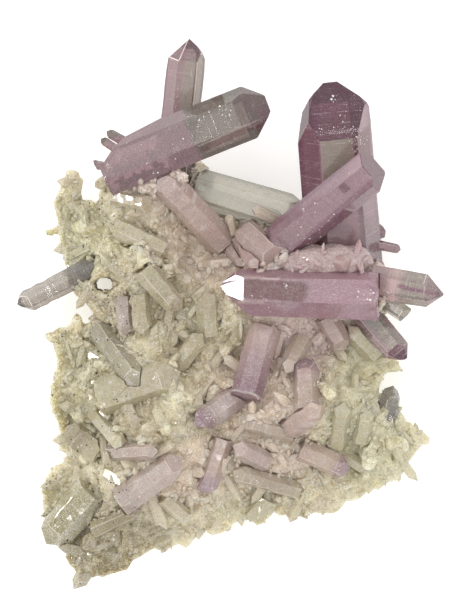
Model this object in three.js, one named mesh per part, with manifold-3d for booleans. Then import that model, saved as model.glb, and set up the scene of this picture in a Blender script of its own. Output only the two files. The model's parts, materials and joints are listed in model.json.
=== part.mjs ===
// Amethyst specimen: purple and clear quartz crystals on a plate of pale massive quartz.
// Millimetres. The plate lies on its flat back at z = 0 with the crystals up (+Z).
// +Y runs towards the end that carries the tall crystals.
import * as THREE from 'three';
import { mergeVertices } from 'three/addons/utils/BufferGeometryUtils.js';
import Module from 'manifold-3d';

const wasm = await Module();
wasm.setup();

// Driving dimensions of the plate.
const PLATE_WIDTH = 86;
const PLATE_HEIGHT = 112;
const GRID_STEP = 3.6;
const RIM_TOP = 13.5;
const RIM_BOTTOM = 9;
const CROWN_RISE = 8;
const CROWN_REACH = 15;
const UNDERCUT_REACH = 13;
const LUMP_HEIGHT = 4.2;
const LUMP_CELL = 9.5;
const KNOB_HEIGHT = 2.2;
const KNOB_CELL = 4.3;
const LEDGE_STEP = 2.4;
const GRID_JITTER = 0.3;
const PLATE_CENTRE = { x: -1, y: -12 };
const WALL_STEP = 3.5;
const WALL_STEPS = 8;
const WALL_LEVELS_BELOW = 4;
const WALL_LEAN_ABOVE = 0.22;
const WALL_LEAN_BELOW = 0.3;
const WALL_WAVE = 0.9;
const BACK_SHARE = 0.5;
const LEDGE_SHARE = 0.5;
const SOFT_RIM = { from: -4, to: 6 };

// Driving dimensions of the crystals. Real quartz end faces stand 51.8 degrees off the long axis.
const END_FACE_ANGLE = THREE.MathUtils.degToRad(51.8);
const FACES = 6;
const FACE_TURN = (2 * Math.PI) / FACES;
const GAP = 0.3;
const CUT_BLOCK = 60;
const WELD = 1e-4;
const SLIVER = 0.1;

// Default build of a crystal: how far each end face meets the axis past the tip, in half widths.
const EVEN_END = [0, 0.55, 0.05, 0.5, 0, 0.6];
const DEFAULT_TAPER = 0.92;
const NEARLY_UPRIGHT = 0.95;

// Driving sizes of the druse of small crystals between the larger ones.
const DRUSE_CELL = 7.6;
const DRUSE_LENGTH = 6.5;
const DRUSE_WIDTH = 2.6;
const DRUSE_SINK = 1.6;
const DRUSE_MARGIN = 2.2;
const DRUSE_SCATTER = 0.8;
const DRUSE_LIFT = { least: 15, most: 60 };
const DRUSE_SCALE = { least: 0.7, most: 1.3 };
const DRUSE_END = [0, 0.3, 0.1, 0.4, 0, 0.3];

// Seeds that keep the repeatable scatter of each feature apart.
const SEED = {
  lumps: 1, knobs: 2, back: 3, gridX: 4, gridY: 5, druseX: 6, druseY: 7, turn: 8, lift: 9, length: 10,
  width: 11, roll: 12, wall: 13,
};

// Colours and roughness of the plate and of the five tones of crystal.
const TONES = {
  matrix: { color: 0xbdb596, roughness: 0.75 },
  clear: { color: 0xc4bfb4, roughness: 0.15 },
  pale: { color: 0xc3c4ad, roughness: 0.3 },
  lilac: { color: 0xae93a0, roughness: 0.2 },
  pink: { color: 0xbb9ea2, roughness: 0.25 },
  purple: { color: 0x85566f, roughness: 0.12 },
};

// Outline of the plate, clockwise from the horn at the upper left, and how much wider it is made.
const RIM_SPREAD = 1.008;
const RIM = [
  [-31.4, 28.3], [-30.2, 27.6], [-30.4, 24.2], [-29.8, 22.4], [-27.6, 22.2], [-26.8, 21.0],
  [-25.8, 22.8], [-25.4, 26.4], [-22.4, 30.0], [-16.0, 31.6], [-10.0, 31.0], [-6.0, 30.0],
  [-4.0, 28.6], [-3.2, 27.0], [-4.6, 24.0], [-4.2, 20.4], [-3.0, 18.4], [0.4, 17.6],
  [6.4, 17.2], [11.0, 18.4], [14.0, 20.4], [20.0, 19.4], [26.0, 17.0], [28.8, 15.6],
  [30.2, 16.0], [30.6, 14.0], [28.4, 11.8], [28.6, 10.6], [30.4, 9.6], [32.0, 7.0],
  [32.4, 2.0], [31.0, -1.0], [30.8, -5.0], [32.4, -8.0], [34.4, -10.8], [35.2, -12.4],
  [32.4, -12.2], [30.8, -12.8], [29.8, -14.4], [29.8, -16.6], [33.6, -17.4], [34.0, -20.0],
  [36.4, -22.8], [38.0, -24.0], [39.8, -25.2], [40.0, -27.0], [38.2, -27.6], [36.6, -29.6],
  [35.0, -32.0], [33.0, -34.0], [30.6, -34.8], [27.4, -36.8], [25.6, -38.2], [23.0, -38.0],
  [21.8, -39.6], [20.4, -40.6], [16.4, -40.4], [14.0, -41.2], [11.4, -40.8], [8.8, -40.8],
  [7.6, -42.2], [5.2, -43.2], [3.8, -41.8], [2.0, -41.8], [0.6, -42.8], [-1.0, -44.2],
  [-3.4, -45.6], [-5.4, -43.6], [-6.8, -44.6], [-7.8, -47.0], [-8.8, -48.0], [-10.2, -47.0],
  [-13.0, -48.4], [-15.0, -47.8], [-17.4, -49.0], [-19.2, -49.8], [-20.4, -51.8], [-22.6, -52.4],
  [-26.0, -53.6], [-30.0, -54.4], [-30.6, -52.4], [-32.8, -49.6], [-32.6, -47.2], [-33.0, -45.0],
  [-34.6, -44.6], [-36.6, -42.4], [-37.6, -40.0], [-37.5, -37.6], [-36.9, -33.6], [-35.4, -31.6],
  [-33.6, -30.4], [-32.6, -28.6], [-34.4, -28.2], [-34.4, -26.0], [-34.9, -22.0], [-36.2, -18.0],
  [-35.4, -14.0], [-34.2, -10.4], [-35.2, -6.8], [-35.0, -4.0], [-32.6, -3.2], [-31.2, -2.0],
  [-29.6, -3.2], [-28.0, -2.2], [-27.0, -0.4], [-28.8, 1.6], [-30.8, 3.0], [-32.6, 5.4],
  [-32.2, 8.4], [-33.2, 11.0], [-34.0, 14.4], [-34.2, 17.6], [-34.8, 21.6], [-34.0, 25.2],
  [-32.8, 27.9],
].map(([x, y]) => [x * RIM_SPREAD, y * RIM_SPREAD]);

// Mounds of rock that carry the large crystals.
const MOUNDS = [
  { x: 10.5, y: 12.5, reach: 11, height: 11.5 },
  { x: 21, y: 6, reach: 13, height: 8 },
  { x: 29, y: 4.5, reach: 9.5, height: 15.5 },
  { x: -17, y: 28.5, reach: 12, height: 12.5 },
];

// The hole through the rim, below the horn.
const HOLE = { x: -25.2, y: 5.2, radius: 2.1, stretch: 0.75, sides: 7 };

const radians = THREE.MathUtils.degToRad;

// Repeatable number between 0 and 1 for a pair of whole numbers.
function chance(i, j, seed) {
  const wave = Math.sin(i * 127.1 + j * 311.7 + seed * 74.7) * 43758.5453;
  return wave - Math.floor(wave);
}

// Smooth random relief between -1 and 1 whose lumps are about one cell wide.
function rough(x, y, cell, seed) {
  const u = x / cell;
  const v = y / cell;
  const i = Math.floor(u);
  const j = Math.floor(v);
  const s = THREE.MathUtils.smoothstep(u - i, 0, 1);
  const t = THREE.MathUtils.smoothstep(v - j, 0, 1);
  const near = THREE.MathUtils.lerp(chance(i, j, seed), chance(i + 1, j, seed), s);
  const far = THREE.MathUtils.lerp(chance(i, j + 1, seed), chance(i + 1, j + 1, seed), s);
  return 2 * THREE.MathUtils.lerp(near, far, t) - 1;
}

// Distance from a point to the rim, positive inside the outline.
function inset(x, y) {
  let nearest = Infinity;
  let inside = false;
  RIM.forEach(([x1, y1], index) => {
    const [x0, y0] = RIM[(index + RIM.length - 1) % RIM.length];
    const dx = x1 - x0;
    const dy = y1 - y0;
    const along = THREE.MathUtils.clamp(((x - x0) * dx + (y - y0) * dy) / (dx * dx + dy * dy), 0, 1);
    nearest = Math.min(nearest, Math.hypot(x - x0 - along * dx, y - y0 - along * dy));
    const crosses = (y0 > y) !== (y1 > y) && x < x0 + ((y - y0) / dy) * dx;
    inside = crosses ? !inside : inside;
  });
  return inside ? nearest : -nearest;
}

// Height that the mounds under the large crystals add at a point.
function mound(x, y) {
  const rises = MOUNDS.map((hill) => {
    const away = Math.hypot(x - hill.x, y - hill.y) / hill.reach;
    return hill.height * (1 - THREE.MathUtils.smoothstep(away, 0, 1));
  });
  return Math.max(...rises);
}

// Height of the plate's crystal side: a low crown with lumps, knobs, ledges and mounds.
function relief(x, y) {
  const depth = Math.max(inset(x, y), 0);
  const crown = CROWN_RISE * THREE.MathUtils.smoothstep(depth, 0, CROWN_REACH);
  const lumps = LUMP_HEIGHT * rough(x, y, LUMP_CELL, SEED.lumps);
  const knobs = KNOB_HEIGHT * rough(x, y, KNOB_CELL, SEED.knobs);
  const rise = crown + (lumps + knobs) * THREE.MathUtils.smoothstep(depth, SOFT_RIM.from, SOFT_RIM.to);
  const ledge = LEDGE_STEP * Math.round(rise / LEDGE_STEP);
  return RIM_TOP + THREE.MathUtils.lerp(rise, ledge, LEDGE_SHARE) + mound(x, y);
}

// Height of the plate's back: flat in the middle, undercut towards the rim.
function underside(x, y) {
  const depth = Math.max(inset(x, y), 0);
  const slope = 1 - THREE.MathUtils.smoothstep(depth, 0, UNDERCUT_REACH);
  const lumps = BACK_SHARE * LUMP_HEIGHT * rough(x, y, LUMP_CELL, SEED.back) * slope;
  return Math.max(RIM_BOTTOM * slope + lumps * slope, 0);
}

// A closed three.js geometry as a solid that can be joined and cut.
function toSolid(geometry) {
  const bare = geometry.clone();
  bare.deleteAttribute('normal');
  bare.deleteAttribute('uv');
  const merged = mergeVertices(bare, WELD);
  return new wasm.Manifold(new wasm.Mesh({
    numProp: 3,
    vertProperties: new Float32Array(merged.attributes.position.array),
    triVerts: new Uint32Array(merged.index.array),
  }));
}

// A joined or cut solid back as a three.js geometry.
function toGeometry(solid) {
  const { vertProperties, triVerts } = solid.getMesh();
  const geometry = new THREE.BufferGeometry();
  geometry.setAttribute('position', new THREE.BufferAttribute(vertProperties, 3));
  geometry.setIndex(new THREE.BufferAttribute(triVerts, 1));
  geometry.computeVertexNormals();
  return geometry;
}

// The largest piece of a solid, without the crumbs that a cut leaves.
function largest(solid) {
  const pieces = solid.decompose();
  return pieces.reduce((best, piece) => (piece.volume() > best.volume() ? piece : best));
}

// The outline as a thick wall that leans in above and below its widest level.
function raggedWall() {
  const outline = new THREE.Shape(RIM.map(([x, y]) => new THREE.Vector2(x, y)));
  const depth = WALL_STEP * WALL_STEPS;
  const wall = new THREE.ExtrudeGeometry(outline, { depth, bevelEnabled: false, steps: WALL_STEPS });
  wall.translate(0, 0, RIM_TOP - WALL_STEP * WALL_LEVELS_BELOW);
  const place = wall.attributes.position;
  for (let index = 0; index < place.count; index += 1) {
    const point = new THREE.Vector3().fromBufferAttribute(place, index);
    const above = point.z - RIM_TOP;
    const wave = 1 + WALL_WAVE * rough(point.x + above, point.y - above, KNOB_CELL, SEED.wall);
    const pull = Math.abs(above) * (above > 0 ? WALL_LEAN_ABOVE : WALL_LEAN_BELOW) * wave;
    const inward = new THREE.Vector2(PLATE_CENTRE.x - point.x, PLATE_CENTRE.y - point.y).setLength(pull);
    place.setXY(index, point.x + inward.x, point.y + inward.y);
  }
  return wall;
}

// The rock of the plate: a displaced slab cut to the ragged outline.
function rock() {
  const columns = Math.round(PLATE_WIDTH / GRID_STEP);
  const rows = Math.round(PLATE_HEIGHT / GRID_STEP);
  const slab = new THREE.BoxGeometry(PLATE_WIDTH, PLATE_HEIGHT, 2, columns, rows, 1);
  const place = slab.attributes.position;
  for (let index = 0; index < place.count; index += 1) {
    const i = Math.round(place.getX(index) / GRID_STEP);
    const j = Math.round(place.getY(index) / GRID_STEP);
    const x = place.getX(index) + GRID_JITTER * GRID_STEP * (2 * chance(i, j, SEED.gridX) - 1);
    const y = place.getY(index) + GRID_JITTER * GRID_STEP * (2 * chance(i, j, SEED.gridY) - 1);
    place.setXYZ(index, x, y, place.getZ(index) > 0 ? relief(x, y) : underside(x, y));
  }
  return toSolid(slab).intersect(toSolid(raggedWall()));
}

// The hole through the rim as a cutting solid.
function holeCutter() {
  const bore = new THREE.CylinderGeometry(HOLE.radius, HOLE.radius, CUT_BLOCK, HOLE.sides);
  bore.rotateX(Math.PI / 2);
  bore.scale(1, HOLE.stretch, 1);
  bore.translate(HOLE.x, HOLE.y, 0);
  return toSolid(bore);
}

// A block whose one face cuts a crystal at the given point, square to the given direction.
function faceCutter(normal, point) {
  const block = new THREE.BoxGeometry(CUT_BLOCK, CUT_BLOCK, CUT_BLOCK);
  block.translate(0, 0, CUT_BLOCK / 2);
  block.applyQuaternion(new THREE.Quaternion().setFromUnitVectors(new THREE.Vector3(0, 0, 1), normal));
  block.translate(point.x, point.y, point.z);
  return toSolid(block);
}

// A crystal standing on its root along +Y, its first prism face towards +Z.
// Swell makes it larger all over.
function crystalSolid(spec, swell = 0) {
  const { length, width, flat = 1, roll = 0, taper = DEFAULT_TAPER, ends = EVEN_END, bevels = [] } = spec;
  const half = width / 2 + swell / flat;
  const corner = half / Math.cos(FACE_TURN / 2);
  const reach = ends.length ? width : swell;
  const prism = new THREE.CylinderGeometry(corner * taper, corner, length + reach + swell, FACES);
  prism.translate(0, (length + reach - swell) / 2, 0);
  prism.rotateY(FACE_TURN / 2);
  let solid = toSolid(prism);
  ends.forEach((past, index) => {
    const turn = index * FACE_TURN;
    const lean = Math.sin(END_FACE_ANGLE);
    const rise = Math.cos(END_FACE_ANGLE);
    const normal = new THREE.Vector3(Math.sin(turn) * lean, rise, Math.cos(turn) * lean);
    const meets = length + (past * width) / 2 + swell / rise;
    solid = solid.subtract(faceCutter(normal, new THREE.Vector3(0, meets, 0)));
  });
  bevels.forEach(([turn, lean, along, out]) => {
    const side = new THREE.Vector3(Math.sin(radians(turn)), 0, Math.cos(radians(turn)));
    const normal = side.clone().multiplyScalar(Math.sin(radians(lean))).setY(Math.cos(radians(lean)));
    const point = side.multiplyScalar((out * width) / 2).setY(along * length);
    point.addScaledVector(normal, swell);
    solid = solid.subtract(faceCutter(normal, point));
  });
  const shaped = toGeometry(solid);
  shaped.translate(0, ends.length ? length + swell - solid.boundingBox().max[1] : 0, 0);
  shaped.scale(1, 1, flat);
  shaped.rotateY(radians(roll));
  return toSolid(shaped);
}

// Where a crystal stands: its root point, its long axis and the side that faces up.
function crystalPlace(spec) {
  const root = new THREE.Vector3(...spec.root);
  const axis = new THREE.Vector3(...spec.tip).sub(root).normalize();
  const up = Math.abs(axis.z) > NEARLY_UPRIGHT ? new THREE.Vector3(0, 1, 0) : new THREE.Vector3(0, 0, 1);
  const side = new THREE.Vector3().crossVectors(axis, up).normalize();
  const front = new THREE.Vector3().crossVectors(side, axis);
  const turn = new THREE.Matrix4().makeBasis(side, axis, front);
  return new THREE.Matrix4().makeTranslation(root).multiply(turn);
}

// Where a crystal lies on the plate: its root at the surface and its tip lifted off it.
function lying(from, to, lift) {
  const [root, tip] = [from, to].map(([x, y]) => [x, y, relief(x, y)]);
  tip[2] += lift;
  const crest = relief((root[0] + tip[0]) / 2, (root[1] + tip[1]) / 2);
  const raise = Math.max(0, crest - (root[2] + tip[2]) / 2);
  root[2] += raise;
  tip[2] += raise;
  return { root, tip };
}

// The large crystals, front ones first: where they root, where their tips are,
// and their width over the flats.
const LARGE = [
  {
    name: 'front_crystal', tone: 'purple', root: [27.4, 2.9, 27.5], tip: [-2.0, 3.6, 26], width: 8.6,
    roll: 9, ends: [0.5, 0.9, 0.7, 0.4, 0.1, 0.5],
  },
  {
    name: 'leaning_crystal', tone: 'purple', root: [9.8, 13.0, 21.8], tip: [28.5, 28.0, 32], width: 7.5,
    roll: 6, taper: 1, ends: [], bevels: [[76, 42, 1.06, 0], [-76, 46, 1.12, 0.74]],
  },
  {
    name: 'tall_crystal', tone: 'purple', root: [23.2, 8.0, 15], tip: [20.0, 45.1, 25], width: 13.3,
    roll: 6, flat: 0.9, taper: 0.96, ends: [0, 0.85, 0.7, 0.6, 0.65, 0.6], bevels: [[-84, 71, 0.745, 1.14]],
    offshoots: [
      { root: [27.6, 13.5, 16], tip: [34.4, 12.1, 15], width: 1.8 },
      { root: [27.4, 17.6, 15], tip: [31.2, 14.6, 14], width: 2.6 },
    ],
  },
  {
    name: 'upper_left_crystal', tone: 'lilac', root: [-23.6, 28.6, 24.5], tip: [7.6, 40.8, 28.5],
    width: 9.6, roll: -8, flat: 0.72, taper: 0.98, ends: [0.35, 0.8, 0.7, 0.4, 0.9, 0.8],
    bevels: [[-90, 98, 0.42, 1.13], [-90, 125, 0.06, 0.3]],
    offshoots: [
      { root: [-19.0, 32.4, 24], tip: [-24.6, 35.6, 25], width: 1.8 },
      { root: [-20.4, 30.6, 22], tip: [-25.8, 34.2, 22], width: 1.6 },
      { root: [-20.4, 26.8, 22], tip: [-27.6, 29.6, 22], width: 1.7 },
    ],
  },
  {
    name: 'back_top_crystal', tone: 'clear', root: [-11.3, 26.0, 14], tip: [-8.2, 54.2, 23], width: 6.9,
    roll: 8, flat: 0.85, ends: [0.1, 0.5, 0.1, 0.3, 0, 0.1],
  },
  {
    name: 'right_crystal', tone: 'clear', root: [28.6, 5.6, 23.5], tip: [42.6, 3.3, 26], width: 6.0,
    roll: 10, flat: 0.9, ends: [0.2, 0.3, 0.2, 0.5, 0.1, 0],
  },
  {
    name: 'right_stub', tone: 'clear', root: [28.2, 4.0, 18.6], tip: [35.4, -1.2, 20], width: 3.4,
    roll: 20, ends: [], bevels: [[0, 35, 1, 0], [120, 20, 1, 0]],
  },
  {
    name: 'lower_right_crystal', tone: 'purple', root: [26.0, 0.6, 19.6], tip: [35.0, -10.0, 20], width: 4.9,
    roll: 8, flat: 0.9, ends: [0.1, 0.4, 0.3, 0.4, 0.6, 0.5],
  },
  {
    name: 'left_rim_crystal', tone: 'clear', root: [-27.6, 8.4, 15], tip: [-42.6, 0.7, 14.5], width: 4.2,
    roll: -8, flat: 0.9, ends: [0.3, 0.9, 0.6, 0.8, 0.2, 0.4],
  },
  {
    name: 'diagonal_crystal', tone: 'pink', root: [-1.6, 13.6, 15.5], tip: [-14.4, 27.2, 26.5], width: 5.6,
    roll: -10, flat: 0.85, ends: [0.1, 0.4, 0.2, 0.4, 0, 0.5],
  },
  {
    name: 'back_wide_crystal', tone: 'pale', root: [-7.0, 24.4, 13], tip: [16.0, 18.2, 14], width: 7.6,
    roll: 0, flat: 0.8,
  },
  {
    name: 'back_narrow_crystal', tone: 'pale', root: [-6.6, 23.6, 17.6], tip: [11.0, 17.8, 18.6], width: 3.0,
    roll: 10,
  },
  {
    name: 'back_stub', tone: 'clear', root: [11.6, 17.0, 19], tip: [4.4, 20.4, 23.6], width: 2.2,
    roll: 15,
  },
  { name: 'side_stub', tone: 'pale', root: [-22.4, 27.2, 17], tip: [-27.2, 24.6, 17], width: 2.3 },
  {
    name: 'knob_crystal', tone: 'pink', root: [22.6, 9.6, 22], tip: [22.2, 9.2, 30], width: 3.4,
    roll: 12, ends: [0.6, 0.9, 0.5, 0.8, 0.5, 0.7],
  },
];

// The medium crystals that lie on the face of the plate.
const MEDIUM = [
  {
    name: 'purple_stub', tone: 'purple', ...lying([7.0, -3.6], [3.2, -17.4], 3.5), width: 5.6,
    roll: 4, flat: 0.85, taper: 1, ends: [], bevels: [[20, 14, 1, 0]],
  },
  {
    name: 'purple_tip_crystal', tone: 'purple', ...lying([2.8, -16.2], [-7.0, -23.2], 2.5), width: 4.6,
    roll: 12,
  },
  { name: 'pink_crystal', tone: 'pink', ...lying([15.6, -20.0], [15.2, -9.4], 3.5), width: 4.9, roll: -12 },
  {
    name: 'lower_left_crystal', tone: 'pale', root: [-27.6, -36.4, 17.5], tip: [-37.0, -47.0, 13.5],
    width: 6.6, roll: 8, flat: 0.8,
  },
  {
    name: 'glinting_crystal', tone: 'pale', ...lying([-13.2, 12.0], [-24.4, 17.4], 2.5), width: 3.9,
    roll: 14,
  },
  { name: 'upper_left_small', tone: 'pale', ...lying([-16.6, 21.2], [-24.0, 22.8], 2), width: 3.0 },
  {
    name: 'bright_edged_crystal', tone: 'pale', ...lying([-17.2, 8.2], [-10.0, -0.2], 3), width: 4.3,
    roll: -10,
  },
  {
    name: 'sparkling_crystal', tone: 'clear', ...lying([-26.6, -3.8], [-18.0, -15.0], 2.5), width: 4.4,
    roll: 12,
  },
  {
    name: 'broad_pale_crystal', tone: 'pale', ...lying([-26.0, -17.6], [-9.8, -12.4], 2), width: 6.8,
    roll: 6, flat: 0.8,
  },
  {
    name: 'slanting_crystal', tone: 'pale', ...lying([-11.2, -11.8], [-5.4, -4.6], 3), width: 3.6,
    roll: -14,
  },
  { name: 'dart_crystal', tone: 'pale', ...lying([-25.4, -25.6], [-24.2, -31.0], 5), width: 1.7 },
  {
    name: 'brown_crystal', tone: 'pale', ...lying([-26.0, -28.8], [-33.0, -23.6], 2.5), width: 4.6,
    roll: 16,
  },
  {
    name: 'lilac_grey_crystal', tone: 'lilac', ...lying([-22.0, -38.4], [-9.4, -29.4], 2.5), width: 5.2,
    roll: -8, flat: 0.85,
  },
  {
    name: 'upright_pink_crystal', tone: 'pink', ...lying([-1.2, -26.0], [-4.8, -36.4], 3.5), width: 3.8,
    roll: 10, ends: [], bevels: [[0, 30, 0.98, 0], [-100, 45, 1, 0.3]],
  },
  {
    name: 'glassy_crystal', tone: 'clear', ...lying([13.4, -36.2], [0.4, -32.2], 2.5), width: 3.5,
    roll: -16,
  },
  {
    name: 'pink_tipped_crystal', tone: 'pink', ...lying([14.2, -27.8], [24.0, -32.2], 3), width: 4.2,
    roll: 10,
  },
  { name: 'clear_lying_crystal', tone: 'clear', ...lying([12.4, -25.0], [2.4, -22.4], 2.5), width: 3.0 },
  {
    name: 'grey_rim_stub', tone: 'clear', root: [31.6, -21.0, 15.5], tip: [32.8, -15.2, 17], width: 3.8,
    roll: 12, ends: [0.6, 0.2, 0.9, 0.5, 0.9, 0.2],
  },
  { name: 'mauve_crystal', tone: 'lilac', ...lying([-24.4, -28.6], [-14.2, -28.0], 2.5), width: 3.0 },
  { name: 'short_mauve_crystal', tone: 'lilac', ...lying([7.4, -30.4], [0.6, -27.0], 2.5), width: 3.7 },
  {
    name: 'rounded_pale_crystal', tone: 'pale', ...lying([-4.2, -4.4], [-4.8, 4.0], 2.5), width: 4.2,
    roll: 14,
  },
  { name: 'curved_pale_crystal', tone: 'pale', ...lying([14.4, -6.0], [11.2, -12.6], 3), width: 3.4 },
  { name: 'rosy_crystal', tone: 'pink', ...lying([19.4, -1.4], [23.2, -8.2], 3), width: 4.0, roll: 12 },
  { name: 'green_right_crystal', tone: 'pale', ...lying([29.0, -9.0], [23.6, -3.2], 2), width: 3.6 },
  {
    name: 'blush_crystal', tone: 'pink', ...lying([11.4, -24.2], [18.2, -19.0], 4.5), width: 4.2,
    roll: -12,
  },
  { name: 'pale_right_crystal', tone: 'pale', ...lying([21.4, -27.0], [22.6, -18.4], 3), width: 3.8 },
  { name: 'small_right_crystal', tone: 'pale', ...lying([26.2, -26.4], [27.4, -20.0], 2.5), width: 3.0 },
  { name: 'oval_crystal', tone: 'pale', ...lying([7.2, -37.8], [4.0, -42.6], 1), width: 3.4, roll: 10 },
  {
    name: 'broken_crystal', tone: 'pale', ...lying([-27.0, -44.0], [-18.6, -40.0], 3), width: 3.2,
    roll: 12, ends: [], bevels: [[60, 25, 1, 0]],
  },
  { name: 'yellow_glint_crystal', tone: 'pale', ...lying([-13.4, -37.4], [-8.0, -42.4], 2), width: 3.2 },
  {
    name: 'wedge_crystal', tone: 'pale', ...lying([-27.0, -21.0], [-21.4, -27.2], 2.5), width: 3.4,
    roll: 20,
  },
  { name: 'column_crystal', tone: 'pale', ...lying([-18.0, 2.6], [-17.4, -4.8], 2.5), width: 3.4 },
  { name: 'grey_column_crystal', tone: 'lilac', ...lying([-21.4, 2.4], [-20.8, -5.2], 2), width: 2.8 },
  { name: 'rose_root_crystal', tone: 'pink', ...lying([8.6, 10.4], [2.0, 17.0], 3), width: 5.0, roll: 10 },
  { name: 'paired_crystal_a', tone: 'pink', ...lying([1.6, 13.8], [5.4, 8.4], 2.5), width: 2.6 },
  { name: 'paired_crystal_b', tone: 'pink', ...lying([-0.6, 13.0], [2.6, 8.8], 1.5), width: 2.2 },
  { name: 'notch_crystal', tone: 'pale', ...lying([1.0, 14.4], [-0.3, 19.4], 3), width: 1.9 },
];

// Small points of quartz on the rim, fused to the plate.
const RIM_POINTS = [
  { root: [-33.0, -5.2, 13], tip: [-37.6, -5.2, 12.5], width: 2.2 },
  { root: [-30.2, -4.4, 13], tip: [-31.0, -0.4, 14], width: 2.4 },
  { root: [-32.6, 16.6, 13], tip: [-37.6, 15.4, 12], width: 1.8 },
  { root: [-2.4, 25.4, 14], tip: [-3.0, 27.4, 16], width: 1.8 },
];

// Whether a point of the plate keeps the margin to its rim and to the hole.
function clearOfEdges(x, y) {
  const fromHole = Math.hypot(x - HOLE.x, y - HOLE.y) - HOLE.radius;
  return Math.min(inset(x, y), fromHole) > DRUSE_MARGIN;
}

// One small crystal of the druse, by its cell.
function druseCrystal(i, j) {
  const between = (seed, { least, most }) => THREE.MathUtils.lerp(least, most, chance(i, j, seed));
  const x = DRUSE_CELL * (i + DRUSE_SCATTER * chance(i, j, SEED.druseX));
  const y = DRUSE_CELL * (j + DRUSE_SCATTER * chance(i, j, SEED.druseY));
  const root = new THREE.Vector3(x, y, relief(x, y) - DRUSE_SINK);
  const fromUp = radians(90 - between(SEED.lift, DRUSE_LIFT));
  const reach = new THREE.Vector3(0, 0, DRUSE_LENGTH * between(SEED.length, DRUSE_SCALE));
  reach.applyEuler(new THREE.Euler(0, fromUp, 2 * Math.PI * chance(i, j, SEED.turn), 'ZYX'));
  return {
    root: root.toArray(),
    tip: root.add(reach).toArray(),
    width: DRUSE_WIDTH * between(SEED.width, DRUSE_SCALE),
    roll: 60 * chance(i, j, SEED.roll),
    ends: DRUSE_END,
  };
}

// The druse over the whole plate.
function druse() {
  const columns = Math.ceil(PLATE_WIDTH / DRUSE_CELL / 2);
  const rows = Math.ceil(PLATE_HEIGHT / DRUSE_CELL / 2);
  const found = [];
  for (let i = -columns; i < columns; i += 1) {
    for (let j = -rows; j < rows; j += 1) {
      found.push(druseCrystal(i, j));
    }
  }
  return found.filter(({ root, tip }) => clearOfEdges(root[0], root[1]) && clearOfEdges(tip[0], tip[1]));
}

// Length from root to tip, added to a crystal's spec.
function measured(spec) {
  const length = new THREE.Vector3(...spec.root).distanceTo(new THREE.Vector3(...spec.tip));
  return { ...spec, length };
}

// A crystal's solid standing in its place on the specimen, joined with the offshoots that grow from it.
function placedSolid(spec, swell = 0) {
  return [spec, ...(spec.offshoots ?? []).map(measured)]
    .map((crystal) => crystalSolid(crystal, swell).transform(crystalPlace(crystal).elements))
    .reduce((joined, crystal) => joined.add(crystal));
}

// The plate with its druse and rim points, opened for the crystals that root in it.
function matrixSolid(sockets) {
  const joined = [...RIM_POINTS, ...druse()].map(measured).reduce(
    (solid, spec) => solid.add(placedSolid(spec)),
    rock().subtract(holeCutter()),
  );
  const opened = sockets.reduce((solid, socket) => solid.subtract(socket), joined);
  return largest(opened.asOriginal().simplify(SLIVER));
}

// A named mesh with the colour of its tone.
function namedMesh(name, geometry, tone) {
  const material = new THREE.MeshStandardMaterial({ ...TONES[tone], metalness: 0, flatShading: true });
  const mesh = new THREE.Mesh(geometry, material);
  mesh.name = name;
  return mesh;
}

// A crystal as a mesh in its own frame, cut back where crystals in front of it stand.
function crystalMesh(spec, solid) {
  const place = crystalPlace(spec);
  const geometry = toGeometry(solid).applyMatrix4(place.clone().invert());
  const mesh = namedMesh(spec.name, geometry, spec.tone);
  mesh.applyMatrix4(place);
  return mesh;
}

// The whole specimen, its box centred on the axis and its back on z = 0.
function specimen() {
  const group = new THREE.Group();
  const sockets = [];
  [...LARGE, ...MEDIUM].map(measured).forEach((spec) => {
    const cut = sockets.reduce((solid, socket) => solid.subtract(socket), placedSolid(spec));
    group.add(crystalMesh(spec, largest(cut.asOriginal().simplify(SLIVER))));
    sockets.push(placedSolid(spec, GAP));
  });
  group.add(namedMesh('matrix', toGeometry(matrixSolid(sockets)), 'matrix'));
  const box = new THREE.Box3().setFromObject(group, true);
  const middle = box.getCenter(new THREE.Vector3());
  group.position.set(-middle.x, -middle.y, -box.min.z);
  return group;
}

export default specimen();
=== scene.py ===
"""Amethyst specimen: purple and clear quartz crystals on a plate of pale sugary quartz, dressed for rendering.

Metres, in the frame of the solids: the plate lies on its flat back at z = 0 with the crystals up (+Z), and
+Y runs towards the end with the tall crystals.
"""

import json
import logging
import math
import random
from dataclasses import dataclass, field, replace
from enum import Enum

import bmesh
import bpy
from mathutils import Matrix, Vector, noise
from mathutils.bvhtree import BVHTree


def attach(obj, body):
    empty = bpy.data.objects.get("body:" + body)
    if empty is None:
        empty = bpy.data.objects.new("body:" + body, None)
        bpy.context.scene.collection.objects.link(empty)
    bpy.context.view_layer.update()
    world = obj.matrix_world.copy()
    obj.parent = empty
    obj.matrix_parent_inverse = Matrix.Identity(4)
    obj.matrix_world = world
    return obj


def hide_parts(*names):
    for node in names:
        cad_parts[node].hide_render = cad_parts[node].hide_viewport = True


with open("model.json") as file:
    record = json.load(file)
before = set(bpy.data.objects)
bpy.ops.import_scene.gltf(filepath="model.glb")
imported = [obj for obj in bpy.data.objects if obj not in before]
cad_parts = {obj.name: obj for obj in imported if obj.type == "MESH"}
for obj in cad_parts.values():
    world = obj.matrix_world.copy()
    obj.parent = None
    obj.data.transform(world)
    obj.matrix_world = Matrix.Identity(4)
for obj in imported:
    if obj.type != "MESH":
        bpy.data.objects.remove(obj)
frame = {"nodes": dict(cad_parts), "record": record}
LOG = logging.getLogger("specimen")
MM = 0.001
UP = Vector((0.0, 0.0, 1.0))

Colour = tuple[float, float, float, float]
Value = bpy.types.NodeSocket | float | Colour


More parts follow.
